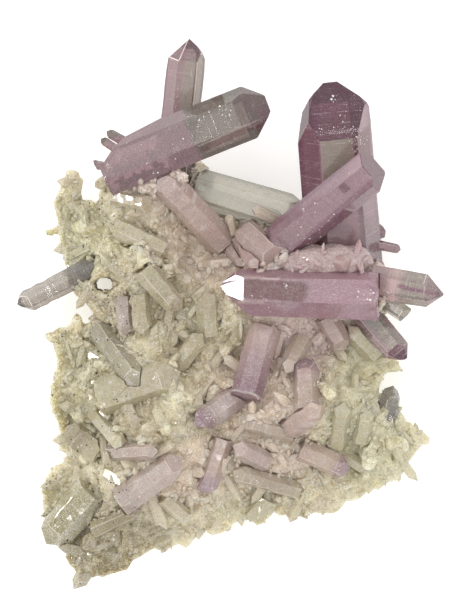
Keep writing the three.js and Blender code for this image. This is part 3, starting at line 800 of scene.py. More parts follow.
    PURPLE_TIP = QuartzFinish(
        "purple_tip_quartz", Tone.LILAC_GLASS,
        (
            Zone(Tone.ROSE, along=(-1, 0.4), soft=0.2, strength=0.5),
            Zone(Tone.HEATHER, along=(0.74, 2), soft=0.12, strength=0.95),
        ),
        transmission=0.5, density=8.0, ground=0.3, milk=0.4, grain=0.25, crack_reflection=0.5,
    )


@dataclass(frozen=True)
class Growth:
    """A run of growth lines around a crystal: fine steps across its faces, in millimetres."""

    start: float
    end: float
    count: int
    depth: float = 0.05


def rank(place: Vector) -> float:
    """A number that tells places apart, for sorting them the same way in each run."""
    return place.dot(Vector((1.0, 0.6180339, 0.3871513)))


def put_in_order(shape: bmesh.types.BMesh) -> None:
    """Sorts mesh work by place, because some operators give their results in a changing order."""
    shape.verts.sort(key=lambda vert: rank(vert.co))
    shape.edges.sort(key=lambda edge: rank(edge.verts[0].co + edge.verts[1].co))
    shape.faces.sort(key=lambda face: rank(face.calc_center_median()))


@dataclass
class Crystal:
    """One crystal: the shape of its solid with softened edges, growth lines and colour zones."""

    node: str
    quartz: Quartz
    heading: tuple[float, float]
    growth: tuple[Growth, ...] = ()
    edge: float = 0.1
    painted_edge_highlights: float = 0.15
    wear: float = 0.0
    crumble: float = 0.0
    seed: int = 1

    def axes(self, shape: bmesh.types.BMesh) -> tuple[Vector, Vector, Vector]:
        """The crystal's long axis towards its tip, its side and its front.

        Args:
            shape: The crystal's mesh.

        Returns:
            The three directions, square to each other.
        """
        spread = Matrix(((0, 0, 0), (0, 0, 0), (0, 0, 0)))
        for face in shape.faces:
            normal, area = face.normal, face.calc_area()
            for row in range(3):
                for column in range(3):
                    spread[row][column] += area * normal[row] * normal[column]
        trace = spread[0][0] + spread[1][1] + spread[2][2]
        pull = Matrix.Identity(3) * trace - spread
        axis = Vector((*self.heading, 0.35)).normalized()
        for _ in range(60):
            axis = (pull @ axis).normalized()
        if axis.xy.dot(Vector(self.heading)) < 0:
            axis.negate()
        side = axis.cross(UP).normalized()
        return axis, side, side.cross(axis)

    def soften(self, shape: bmesh.types.BMesh) -> None:
        """Rounds the crystal's edges a little, as natural edges are, and gives a share of the rounded strips the pale
        edge finish, a painted highlight.
        """
        long_edges = [
            edge for edge in shape.edges
            if len(edge.link_faces) == 2 and edge.calc_face_angle(0) > 0.25 and edge.calc_length() > 0.5 * MM
        ]
        chance = random.Random(self.seed + len(long_edges))
        narrow = bmesh.ops.bevel(
            shape, geom=long_edges, offset=self.edge * MM, offset_type="OFFSET", affect="EDGES", segments=1,
            profile=0.5, material=-1, clamp_overlap=True,
        )["faces"]
        # A share of the rounded edge strips gets the pale edge finish: a painted edge highlight.
        for face in sorted(narrow, key=lambda face: rank(face.calc_center_median())):
            face.material_index = int(chance.random() < self.painted_edge_highlights)
        put_in_order(shape)

    def line_up(self, shape: bmesh.types.BMesh, axis: Vector) -> None:
        """Cuts growth lines around the crystal and steps them in and out.

        Args:
            shape: The crystal's mesh.
            axis: Its long axis.
        """
        chance = random.Random(self.seed + len(self.node))
        reach = [vert.co.dot(axis) for vert in shape.verts]
        low, length = min(reach), max(reach) - min(reach)
        middle = sum((vert.co for vert in shape.verts), Vector()) / len(shape.verts)
        for run in self.growth:
            for index in range(run.count):
                share = run.start + (run.end - run.start) * (index + chance.uniform(-0.35, 0.35)) / run.count
                point = middle + axis * (low + share * length - middle.dot(axis))
                cut = bmesh.ops.bisect_plane(
                    shape, geom=shape.verts[:] + shape.edges[:] + shape.faces[:], dist=1e-8,
                    plane_co=point, plane_no=axis,
                )
                push = run.depth * MM * chance.uniform(-1, 1)
                for vert in (item for item in cut["geom_cut"] if isinstance(item, bmesh.types.BMVert)):
                    vert.co += (vert.co - point).normalized() * push

    def weather(self, shape: bmesh.types.BMesh) -> None:
        """Makes the faces uneven and the outline less straight, as on crowded crystals."""
        for _ in range(2):
            long_edges = [edge for edge in shape.edges if edge.calc_length() > 1.3 * MM]
            bmesh.ops.subdivide_edges(shape, edges=long_edges, cuts=1)
            put_in_order(shape)
            bmesh.ops.triangulate(shape, faces=[face for face in shape.faces if len(face.verts) > 4])
            put_in_order(shape)
        for vert in shape.verts:
            vert.co += noise.noise_vector(vert.co / (2.2 * MM)) * self.wear * MM

    def break_root(self, shape: bmesh.types.BMesh, axis: Vector, reach: float = 3.5) -> None:
        """Makes the root end rough, as broken or grown-in quartz is.

        Args:
            shape: The crystal's mesh.
            axis: Its long axis.
            reach: How far up the crystal it is rough, in millimetres.
        """
        low = min(vert.co.dot(axis) for vert in shape.verts)
        for _ in range(4):
            near = [
                edge for edge in shape.edges
                if edge.calc_length() > 0.9 * MM and min(v.co.dot(axis) for v in edge.verts) < low + reach * MM
            ]
            bmesh.ops.subdivide_edges(shape, edges=near, cuts=1)
            put_in_order(shape)
            bmesh.ops.triangulate(shape, faces=[face for face in shape.faces if len(face.verts) > 4])
            put_in_order(shape)
        for vert in shape.verts:
            share = max(0.0, 1 - (vert.co.dot(axis) - low) / (reach * MM))
            vert.co += noise.noise_vector(vert.co / (1.6 * MM)) * self.crumble * share * MM

    def build(self) -> bpy.types.Object:
        """Makes the crystal's mesh.

        Returns:
            The crystal as an object.
        """
        shape = bmesh.new()
        shape.from_mesh(frame["nodes"][self.node].data)
        bmesh.ops.remove_doubles(shape, verts=shape.verts[:], dist=2e-6)
        bmesh.ops.dissolve_limit(shape, angle_limit=0.02, verts=shape.verts[:], edges=shape.edges[:])
        put_in_order(shape)
        axis, side, front = self.axes(shape)
        self.mark(shape, (side, axis, front))
        self.soften(shape)
        self.line_up(shape, axis)
        put_in_order(shape)
        bmesh.ops.triangulate(shape, faces=[face for face in shape.faces if len(face.verts) > 4])
        put_in_order(shape)
        if self.crumble:
            self.break_root(shape, axis)
        if self.wear:
            self.weather(shape)
        put_in_order(shape)
        return to_object(shape, "crystal_" + self.node)

    def mark(self, shape: bmesh.types.BMesh, directions: tuple[Vector, Vector, Vector]) -> None:
        """Stores where each point lies on the crystal, for its colour zones, and which faces are its crown.

        Args:
            shape: The crystal's mesh.
            directions: Its side, its long axis and its front.
        """
        grow = shape.verts.layers.float_vector.new("grow")
        local = shape.verts.layers.float_vector.new("local")
        crown = shape.faces.layers.float.new("crown")
        for face in shape.faces:
            face[crown] = float(face.normal.dot(directions[1]) > 0.25)
        shape.verts.index_update()
        widest = 0.06 * max(face.calc_area() for face in shape.faces)
        body = {vert.index for face in shape.faces if face.calc_area() > widest for vert in face.verts}
        spans = [[vert.co.dot(way) for vert in shape.verts] for way in directions]
        lows = [min(values[index] for index in body) for values in spans]
        sizes = [max(values[index] for index in body) - low for values, low in zip(spans, lows)]
        for index, vert in enumerate(shape.verts):
            shares = [(spans[way][index] - lows[way]) / sizes[way] for way in range(3)]
            vert[grow] = (2 * shares[0] - 1, shares[1], 2 * shares[2] - 1)
            vert[local] = [spans[way][index] / MM for way in range(3)]

    def make(self) -> bpy.types.Object:
        """Builds the crystal, dresses it and puts it in the frame.

        Returns:
            The finished crystal.
        """
        piece = self.build()
        piece.data.materials.append(self.quartz.value.material())
        # Slot 1: the pale edge finish, a painted edge highlight.
        piece.data.materials.append(PaintedGlintFinish("bright_edge", Tone.GLASS, Tone.LILAC_MIST).material())
        settle(piece, node_slot(self.node), self.node)
        return piece


def node_slot(node: str) -> str:
    """The record's material slot of a solid."""
    return next(row["material_slot"] for row in frame["record"]["subparts"] if row["node"] == node)


def to_object(shape: bmesh.types.BMesh, name: str) -> bpy.types.Object:
    """Turns finished mesh work into an object of the scene.

    Args:
        shape: The mesh work; it is freed.
        name: The name of the object and its mesh.

    Returns:
        The new object.
    """
    mesh = bpy.data.meshes.new(name)
    shape.to_mesh(mesh)
    shape.free()
    piece = bpy.data.objects.new(name, mesh)
    bpy.context.scene.collection.objects.link(piece)
    return piece


def settle(piece: bpy.types.Object, slot: str, *nodes: str) -> None:
    """Puts a piece on the specimen and reports it.

    Args:
        piece: The finished piece.
        slot: The record's material slot; not used.
        nodes: The solids that it stands for.
    """
    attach(piece, "root")
    if nodes:
        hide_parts(*nodes)
    LOG.info("%s: %d faces", piece.name, len(piece.data.polygons))


LARGE = (
    Crystal("front_crystal", Quartz.FRONT, (-1, 0), crumble=0.9),
    Crystal("leaning_crystal", Quartz.LEANING, (1, 0.8), (Growth(0.2, 0.85, 22, 0.04),), crumble=0.9),
    Crystal("tall_crystal", Quartz.TALL, (-0.1, 1), (Growth(0.78, 0.86, 5, 0.05),)),
    Crystal("upper_left_crystal", Quartz.UPPER_LEFT, (1, 0.4), (Growth(0.58, 0.78, 12, 0.015),), crumble=0.8),
    Crystal("back_top_crystal", Quartz.BACK_TOP, (0.1, 1), (Growth(0.2, 0.85, 24, 0.04),), painted_edge_highlights=0.4),
    Crystal("right_crystal", Quartz.RIGHT, (1, 0), (Growth(0.3, 0.6, 8, 0.04),)),
    Crystal("right_stub", Quartz.SMALL_CLEAR, (1, -0.6)),
    Crystal("lower_right_crystal", Quartz.LOWER_RIGHT, (0.6, -0.8), (Growth(0.3, 0.8, 6, 0.02),)),
    Crystal("left_rim_crystal", Quartz.LEFT_RIM, (-1, -0.5), (Growth(0.5, 0.95, 20, 0.09),)),
    Crystal("diagonal_crystal", Quartz.ROSE, (-0.7, 0.7), (Growth(0.45, 0.95, 22, 0.07),)),
    Crystal("back_wide_crystal", Quartz.GREEN_GREY, (1, -0.2)),
    Crystal("back_narrow_crystal", Quartz.GREEN_GREY, (1, -0.3)),
    Crystal("back_stub", Quartz.CLEAR, (-1, 0.5)),
    Crystal("side_stub", Quartz.PALE, (-1, -0.5)),
    Crystal("knob_crystal", Quartz.ROSE, (-0.1, 0.1), edge=0.3, painted_edge_highlights=0.0),
)

MEDIUM = (
    Crystal("purple_stub", Quartz.PURPLE_STUB, (-0.25, -1), (Growth(0.5, 0.97, 8, 0.03),)),
    Crystal("purple_tip_crystal", Quartz.PURPLE_TIP, (-1, -0.7), (Growth(0.6, 0.85, 8, 0.07),)),
    Crystal("pink_crystal", Quartz.ROSE_TIP, (0, 1), (Growth(0.3, 0.9, 8, 0.04),)),
    Crystal("lower_left_crystal", Quartz.GREEN_MILK, (-0.7, -0.8), (Growth(0.2, 0.8, 6, 0.03),)),
    Crystal("glinting_crystal", Quartz.PALE, (-1, 0.5), (Growth(0.2, 0.9, 26, 0.08),)),
    Crystal("upper_left_small", Quartz.PALE, (-1, 0.2), (Growth(0.3, 0.9, 6, 0.04),)),
    Crystal("bright_edged_crystal", Quartz.PALE, (0.6, -0.8), (Growth(0.2, 0.9, 8, 0.04),)),
    Crystal("sparkling_crystal", Quartz.CLEAR, (0.6, -0.8), (Growth(0.1, 0.9, 20, 0.09),)),
    Crystal("broad_pale_crystal", Quartz.PALE, (1, 0.3), (Growth(0.1, 0.9, 12, 0.05),)),
    Crystal("slanting_crystal", Quartz.PALE, (0.6, 0.8), (Growth(0.1, 0.9, 8, 0.05),)),
    Crystal("dart_crystal", Quartz.CLEAR, (0.2, -1)),
    Crystal("brown_crystal", Quartz.BROWNISH, (-0.8, 0.6), (Growth(0.2, 0.9, 14, 0.1),)),
    Crystal("lilac_grey_crystal", Quartz.LILAC, (0.8, 0.6), (Growth(0.2, 0.9, 10, 0.04),)),
    Crystal("upright_pink_crystal", Quartz.ROSE_TIP, (-0.3, -1), (Growth(0.3, 0.9, 8, 0.04),)),
    Crystal("glassy_crystal", Quartz.CLEAR, (-1, 0.3), (Growth(0.3, 0.95, 10, 0.06),)),
    Crystal("pink_tipped_crystal", Quartz.ROSE_TIP, (1, -0.4), (Growth(0.3, 0.9, 8, 0.04),)),
    Crystal("clear_lying_crystal", Quartz.CLEAR, (-1, 0.25), (Growth(0.2, 0.95, 8, 0.05),)),
    Crystal("grey_rim_stub", Quartz.SMALL_CLEAR, (0.2, 1)),
    Crystal("mauve_crystal", Quartz.LILAC, (1, 0.1), (Growth(0.2, 0.9, 6, 0.04),)),
    Crystal("short_mauve_crystal", Quartz.LILAC, (-0.9, 0.5), (Growth(0.2, 0.9, 6, 0.04),)),
    Crystal("rounded_pale_crystal", Quartz.PALE, (0, 1), (Growth(0.2, 0.9, 6, 0.04),)),
    Crystal("curved_pale_crystal", Quartz.PALE, (-0.4, -0.9), (Growth(0.2, 0.9, 6, 0.04),)),
    Crystal("rosy_crystal", Quartz.ROSE, (0.5, -0.9), (Growth(0.2, 0.9, 6, 0.04),)),
    Crystal("green_right_crystal", Quartz.PALE, (-0.7, 0.7), (Growth(0.2, 0.9, 6, 0.04),)),
    Crystal("blush_crystal", Quartz.ROSE, (0.8, 0.6), (Growth(0.2, 0.9, 8, 0.04),)),
    Crystal("pale_right_crystal", Quartz.PALE, (0.1, 1), (Growth(0.2, 0.9, 8, 0.04),)),
    Crystal("small_right_crystal", Quartz.PALE, (0.1, 1), (Growth(0.2, 0.9, 6, 0.04),)),
    Crystal("oval_crystal", Quartz.PALE, (-0.5, -0.8)),
    Crystal("broken_crystal", Quartz.BROWNISH, (0.9, 0.4), (Growth(0.3, 0.95, 6, 0.06),)),
    Crystal("yellow_glint_crystal", Quartz.PALE, (0.7, -0.7), (Growth(0.2, 0.9, 8, 0.07),)),
    Crystal("wedge_crystal", Quartz.PALE, (0.7, -0.7)),
    Crystal("column_crystal", Quartz.PALE, (0.1, -1), (Growth(0.2, 0.9, 6, 0.04),)),
    Crystal("grey_column_crystal", Quartz.LILAC, (0.1, -1), (Growth(0.2, 0.9, 6, 0.04),)),
    Crystal("rose_root_crystal", Quartz.ROSE, (-0.8, 0.6), (Growth(0.2, 0.9, 8, 0.04),)),
    Crystal("paired_crystal_a", Quartz.ROSE, (0.6, -0.8), (Growth(0.3, 0.95, 8, 0.06),)),
    Crystal("paired_crystal_b", Quartz.ROSE, (0.6, -0.8), (Growth(0.3, 0.95, 8, 0.06),)),
    Crystal("notch_crystal", Quartz.PALE, (0, 1)),
)


@dataclass
class Rock:
    """The plate of massive quartz: the solid's shape with broken, sugary faces."""

    edge: float = 0.85
    passes: int = 4
    block: float = 3.2
    block_tilt: float = 0.18
    grain: float = 1.1
    grain_tilt: float = 0.1
    heave: float = 0.3
    smoothing: int = 3
    finish: RockFinish = field(default_factory=RockFinish)

    def refine(self, shape: bmesh.types.BMesh) -> None:
        """Splits the plate's long edges until all are short."""
        for _ in range(self.passes):
            long_edges = [edge for edge in shape.edges if edge.calc_length() > self.edge * MM]
            if long_edges:
                bmesh.ops.subdivide_edges(shape, edges=long_edges, cuts=1)
                bmesh.ops.triangulate(shape, faces=[face for face in shape.faces if len(face.verts) > 3])

    @staticmethod
    def facet(place: Vector, cell: float, tilt: float) -> float:
        """The height of a broken face at a point: each cell of the rock has a tilt of its own.

        Args:
            place: The point.
            cell: The size of the cells in metres.
            tilt: How steep the faces are.

        Returns:
            The height in metres.
        """
        _, centres = noise.voronoi(place / cell)
        lean = noise.cell_vector(centres[0] * 7.3) * 2 - Vector((1, 1, 1))
        return tilt * cell * lean.dot(place / cell - centres[0])

    def roughen(self, shape: bmesh.types.BMesh) -> None:
        """Breaks the surface into small tilted faces, all but the flat back."""
        shape.normal_update()
        moves = []
        for vert in shape.verts:
            place = vert.co
            height = self.facet(place, self.block * MM, self.block_tilt) + self.facet(
                place, self.grain * MM, self.grain_tilt
            )
            height += self.heave * MM * noise.noise(place / (5 * MM))
            lift = min(1.0, place.z / (0.8 * MM))
            moves.append(vert.normal * height * lift)
        for vert, move in zip(shape.verts, moves):
            vert.co += move

    @staticmethod
    def hollows(shape: bmesh.types.BMesh) -> None:
        """Stores how deep each point lies under the smoothed surface, about 1 for a millimetre."""
        cavity = shape.verts.layers.float.new("cavity")
        shape.normal_update()
        before = [(vert.co.copy(), vert.normal.copy()) for vert in shape.verts]
        for _ in range(10):
            bmesh.ops.smooth_vert(
                shape, verts=shape.verts[:], factor=0.5, use_axis_x=True, use_axis_y=True, use_axis_z=True
            )
        for vert, (place, normal) in zip(shape.verts, before):
            vert[cavity] = (vert.co - place).dot(normal) / MM
            vert.co = place

    def build(self) -> bpy.types.Object:
        """Makes the plate's mesh.

        Returns:
            The plate as an object.
        """
        shape = bmesh.new()
        shape.from_mesh(frame["nodes"]["matrix"].data)
        bmesh.ops.remove_doubles(shape, verts=shape.verts[:], dist=2e-6)
        self.refine(shape)
        raised = [vert for vert in shape.verts if vert.co.z > 0.4 * MM]
        for _ in range(self.smoothing):
            bmesh.ops.smooth_vert(shape, verts=raised, factor=0.5, use_axis_x=True, use_axis_y=True, use_axis_z=True)
        self.roughen(shape)
        self.hollows(shape)
        return to_object(shape, "plate")

    def make(self) -> bpy.types.Object:
        """Builds the plate, dresses it and puts it in the frame.

        Returns:
            The finished plate.
        """
        piece = self.build()
        piece.data.materials.append(self.finish.material())
        settle(piece, "matrix", "matrix")
        return piece


@dataclass(frozen=True)
class Spot:
    """A round place seen from above where small things crowd, in millimetres on the plate."""

    x: float
    y: float
    reach: float
    count: int


ROOTS = (
    Spot(24.0, 9.6, 2.6, 6),
    Spot(18.0, 10.0, 3.4, 8),
    Spot(12.0, 9.8, 3.0, 8),
)

# Places of the sparkling flakes, which are painted white: painted sparkle.
SPARKLES = (
    Spot(25.0, 34.5, 2.4, 34),
    Spot(18.2, 36.4, 0.5, 3),
    Spot(19.6, 36.5, 0.5, 3),
    Spot(21.2, 36.6, 0.5, 3),
    Spot(22.6, 36.8, 0.5, 3),
    Spot(20.6, 42.4, 0.9, 5),
    Spot(22.8, 39.0, 1.0, 4),
    Spot(17.0, 17.5, 5.0, 22),
    Spot(22.5, 25.0, 4.0, 8),
    Spot(14.5, 14.5, 4.0, 14),
    Spot(11.3, 5.3, 0.6, 12),
    Spot(6.0, 2.6, 1.5, 12),
    Spot(3.5, 2.8, 1.0, 8),
    Spot(11.0, 1.2, 0.8, 8),
    Spot(27.5, 3.5, 2.5, 20),
    Spot(31.5, 3.2, 1.4, 14),
    Spot(16.5, 9.0, 1.2, 6),
    Spot(-1.5, 39.5, 2.6, 12),
    Spot(-15.0, 33.0, 6.0, 26),
    Spot(-6.5, 17.5, 2.4, 24),
    Spot(-11.5, 24.0, 2.6, 16),
    Spot(-36.5, 4.5, 3.0, 14),
    Spot(-29.0, -26.0, 2.4, 20),
    Spot(-21.5, 16.5, 3.4, 22),
    Spot(-9.5, -40.5, 1.6, 10),
    Spot(-3.5, -21.5, 1.2, 10),
    Spot(-18.0, 4.0, 16.0, 80),
    Spot(-16.0, -20.0, 18.0, 120),
    Spot(14.0, -22.0, 18.0, 120),
)


# Places of the white flakes that stand for glints: painted glints.
GLINTS = (
    Spot(20.4, 42.6, 0.5, 3),
    Spot(21.0, 41.8, 0.4, 2),
    Spot(24.6, 43.0, 0.3, 1),
    Spot(22.8, 37.8, 0.4, 2),
    Spot(24.6, 33.6, 1.0, 6),
    Spot(26.0, 33.4, 0.5, 3),
    Spot(25.0, 31.6, 0.4, 2),
    Spot(17.4, 21.2, 0.5, 2),
    Spot(14.8, 20.2, 0.4, 2),
    Spot(17.2, 9.2, 0.5, 3),
    Spot(11.2, 5.0, 0.4, 3),
    Spot(4.4, 3.4, 0.4, 1),
    Spot(6.4, 2.8, 0.6, 3),
    Spot(8.0, 0.4, 0.6, 3),
    Spot(28.4, 3.0, 1.4, 6),
    Spot(32.4, 4.0, 1.0, 4),
    Spot(-0.8, 39.6, 1.2, 4),
    Spot(-7.6, 39.0, 0.8, 3),
    Spot(-11.2, 10.2, 0.4, 2),
    Spot(-24.0, -5.2, 0.9, 4),
    Spot(-20.6, -9.4, 0.9, 4),
    Spot(-18.8, -13.0, 0.8, 3),
    Spot(-12.6, 2.6, 0.6, 2),
    Spot(-10.8, 1.0, 0.6, 2),
    Spot(-6.6, -6.4, 0.8, 3),
    Spot(-3.6, -10.0, 0.5, 2),
    Spot(-0.6, -7.8, 0.3, 1),
    Spot(-3.6, -21.6, 0.6, 4),
    Spot(17.2, -18.8, 0.4, 2),
    Spot(2.0, -33.0, 0.6, 3),
    Spot(5.0, -34.4, 0.8, 4),
    Spot(7.4, -35.6, 0.8, 4),
    Spot(17.0, -34.6, 0.6, 3),
    Spot(-28.6, -26.4, 1.2, 5),
    Spot(-9.4, -41.0, 1.0, 4),
)


@dataclass
class Mass:
    """A smooth milky mass that buries the roots of crystals, in millimetres."""

    name: str
    centre: Vector
    half: Vector
    seed: int
    finish: bpy.types.Material
    swell: float = 1.1
    crumb: float = 0.16

    def make(self) -> bpy.types.Object:
        """Builds the mass and puts it in the frame.

        Returns:
            The finished piece.
        """
        shape = bmesh.new()
        bmesh.ops.create_icosphere(shape, subdivisions=6, radius=1.0)
        for vert in shape.verts:
            way = vert.co.normalized()
            place = Vector([self.centre[k] + self.half[k] * way[k] for k in range(3)])
            drift = Vector((self.seed, 0, 0))
            broad = noise.noise(place * 0.3 + drift) * self.swell
            sugar = noise.turbulence(place * 1.4 + drift, 3, False) * self.crumb
            vert.co = (place + way * (broad + sugar)) * MM
        piece = to_object(shape, self.name)
        piece.data.materials.append(self.finish)
        settle(piece, "matrix")
        return piece


@dataclass(frozen=True)
class Seat:
    """A place on a surface where something small can grow."""

    place: Vector
    normal: Vector


@dataclass
class Druse:
    """Small crystals and grains that cover the plate between the larger crystals, in millimetres."""

    name: str
    size: tuple[float, float]
    slim: tuple[float, float]
    lift: tuple[float, float]
    sink: float
    seed: int
    finish: bpy.types.Material
    sides: int = 6

    def grow_one(self, shape: bmesh.types.BMesh, seat: Seat, chance: random.Random, scale: float = 1.0) -> Vector:
        """Adds one small crystal: a six-sided prism with a pointed end.

        Args:
            shape: The mesh that it is added to.
            seat: Where it grows.
            chance: The source of its random sizes.
            scale: A factor on its size.

        Returns:
            The place of its tip.
        """
        tint, grow = shape.verts.layers.float["tint"], shape.verts.layers.float["rise"]
        length = scale * chance.uniform(*self.size) * MM
        width = length * chance.uniform(*self.slim)
        turn = chance.uniform(0, 2 * math.pi)
        across = Vector((math.cos(turn), math.sin(turn), chance.uniform(-0.2, 0.2)))
        across = (across - seat.normal * across.dot(seat.normal)).normalized()
        lift = math.radians(chance.uniform(*self.lift))
        axis = across * math.cos(lift) + seat.normal * math.sin(lift)
        turn_to = axis.to_track_quat("Z", "Y").to_matrix().to_4x4()
        spin = Matrix.Rotation(chance.uniform(0, math.pi), 4, "Z")
        squeeze = Matrix.Diagonal((1, chance.uniform(0.6, 1), 1, 1))
        middle = seat.place - seat.normal * self.sink * width + axis * length * 0.35
        made = bmesh.ops.create_cone(
            shape, cap_ends=True, cap_tris=False, segments=self.sides, radius1=width / 2, radius2=0.46 * width,
            depth=0.8 * length, matrix=Matrix.Translation(middle) @ turn_to @ spin @ squeeze,
        )["verts"]
        faces = {face for vert in made for face in vert.link_faces}
        top = max(faces, key=lambda face: face.calc_center_median().dot(axis))
        tip = bmesh.ops.poke(shape, faces=[top], offset=0.55 * width)["verts"]
        tip[0].co += Vector([chance.uniform(-0.12, 0.12) * width for _ in range(3)])
        shade = chance.random()
        for vert in (*made, *tip):
            vert[tint] = shade
            vert[grow] = (vert.co - middle).dot(axis) / length + 0.35
        return tip[0].co.copy()

    def make(self, seats: list[Seat], slot: str = "matrix") -> bpy.types.Object:
        """Grows a crystal on every seat and puts them in the frame as one piece.

        Args:
            seats: Where they grow.
            slot: The record's material slot.

        Returns:
            The finished piece.
        """
        chance = random.Random(self.seed)
        shape = bmesh.new()
        shape.verts.layers.float.new("tint")
        shape.verts.layers.float.new("rise")
        for seat in seats:
            self.grow_one(shape, seat, chance)
        piece = to_object(shape, self.name)
        piece.data.materials.append(self.finish)
        settle(piece, slot)
        return piece


@dataclass
class Ground:
    """Finds seats on the plate and round the crystals."""

    plate: bpy.types.Object
    large: list[bpy.types.Object]
    medium: list[bpy.types.Object]

    def __post_init__(self) -> None:
        """Prepares the surfaces for measuring."""
        graph = bpy.context.evaluated_depsgraph_get()
        self.rock = BVHTree.FromObject(self.plate, graph)
        self.large_trees = [BVHTree.FromObject(piece, graph) for piece in self.large]
        self.medium_trees = [BVHTree.FromObject(piece, graph) for piece in self.medium]
        corners = [Vector(corner) for corner in self.plate.bound_box]
        self.low = Vector([min(corner[way] for corner in corners) for way in range(3)])
        self.high = Vector([max(corner[way] for corner in corners) for way in range(3)])

    def inside_quartz(self, place: Vector, room: float) -> bool:
        """Whether a point is in a crystal or too near a large one.

        Args:
            place: The point.
            room: How far it has to keep away from the large crystals, in metres.

        Returns:
            True if it is.
        """
        for trees, gap in ((self.large_trees, room), (self.medium_trees, 0.25 * room)):
            for tree in trees:
                hit, normal, _, away = tree.find_nearest(place, 12 * MM)
                if hit is not None and ((place - hit).dot(normal) < 0 or away < gap):
                    return True
        return False

    def from_above(self, step: float, seed: int, room: float, rim: float = 0.0) -> list[Seat]:
        """Seats on the crystal side of the plate.

        Args:
            step: The mean distance between them, in millimetres.
            seed: The seed of their scatter.
            room: How far they keep from the crystals, in millimetres.
            rim: How far they keep from the plate's outline, in millimetres.

        Returns:
            The seats.
        """
        chance = random.Random(seed)
        seats = []
        columns = int((self.high.x - self.low.x) / (step * MM)) + 1
        rows = int((self.high.y - self.low.y) / (step * MM)) + 1
        for column in range(columns):
            for row in range(rows):
                x = self.low.x + (column + chance.random()) * step * MM
                y = self.low.y + (row + chance.random()) * step * MM
                hit, normal, _, _ = self.rock.ray_cast(Vector((x, y, 0.1)), -UP)
                if hit is None or self.inside_quartz(hit, room * MM) or not self.covered(hit, rim * MM):
                    continue
                seats.append(Seat(hit, (normal + UP * 0.6).normalized()))
        return seats

    def spot(
        self, x: float, y: float, reach: float, count: int, seed: int, on_rock: bool = False
    ) -> list[Seat]:
        """Seats in a round spot, on whatever lies on top there.

        Args:
            x: The spot's middle across the plate, in millimetres.
            y: Its middle along the plate.
            reach: Its radius.
            count: The number of tries.
            seed: The seed of their scatter.
            on_rock: Whether only bare rock is taken.

        Returns:
            The seats.
        """
        chance = random.Random(seed)
        seats = []
        for _ in range(count):
            turn, away = chance.uniform(0, 2 * math.pi), reach * MM * math.sqrt(chance.random())
            start = Vector((x * MM + away * math.cos(turn), y * MM + away * math.sin(turn), 0.1))
            hits = [tree.ray_cast(start, -UP) for tree in (self.rock, *self.large_trees, *self.medium_trees)]
            rock = hits[0][0]
            hits = [(hit, normal) for hit, normal, _, _ in hits if hit is not None]
            if hits:
                place, normal = max(hits, key=lambda found: found[0].z)
                if not on_rock or place == rock:
                    seats.append(Seat(place, normal))
        return seats

    def covered(self, place: Vector, rim: float) -> bool:
        """Whether the plate reaches past a point on all sides.

        Args:
            place: The point.
            rim: How far it has to reach, in metres.

        Returns:
            True if it does.
        """
        if rim <= 0:
            return True
        ways = [Vector((math.cos(k * math.pi / 3), math.sin(k * math.pi / 3), 0)) * rim for k in range(6)]
        tops = [self.rock.ray_cast(Vector((place.x, place.y, 0.1)) + way, -UP)[0] for way in ways]
        return all(top is not None for top in tops)

    def from_sides(self, step: float, seed: int) -> list[Seat]:
        """Seats on the plate's broken rim.

        Args:
            step: The mean distance between them, in millimetres.
            seed: The seed of their scatter.

        Returns:
            The seats.
        """
        chance = random.Random(seed)
        middle = (self.low + self.high) / 2
        seats = []
        for turn in range(int(360 * 0.9 / step)):
            angle = math.radians(turn * step / 0.9)
            for level in range(int(22 / step)):
                height = (level + chance.random()) * step * MM + 1.5 * MM
                bend = angle + chance.uniform(-0.02, 0.02)
                out = Vector((math.cos(bend), math.sin(bend), 0))
                start = Vector((middle.x, middle.y, height)) + out * 0.12
                hit, normal, _, _ = self.rock.ray_cast(start, -out)
                if hit is not None and normal.z > -0.6 and not self.inside_quartz(hit, 0.2 * MM):
                    seats.append(Seat(hit, normal))
        return seats

    def round_roots(self, each: float, seed: int, reach: float = 0.9) -> list[Seat]:
        """Seats where the crystals come out of the plate.

        Args:
            each: About how many tries there are for each square millimetre of crystal.
            seed: The seed of their scatter.
            reach: How near the plate has to be, in millimetres.

        Returns:
            The seats.
        """
        chance = random.Random(seed)
        seats = []
        for piece in (*self.large, *self.medium):
            for face in piece.data.polygons:
                tries = face.area / (MM * MM) * each
                for _ in range(int(tries) + (chance.random() < tries % 1)):
                    corners = sorted((piece.data.vertices[index].co for index in face.vertices), key=rank)
                    shares = [chance.random() for _ in corners]
                    place = sum((c * s for c, s in zip(corners, shares)), Vector()) / sum(shares)
                    hit, normal, _, away = self.rock.find_nearest(place, reach * MM)
                    if hit is not None and (place - hit).dot(normal) > -0.3 * MM:
                        seats.append(Seat(hit.lerp(place, 0.5), (face.normal + UP * 0.4).normalized()))
        return seats


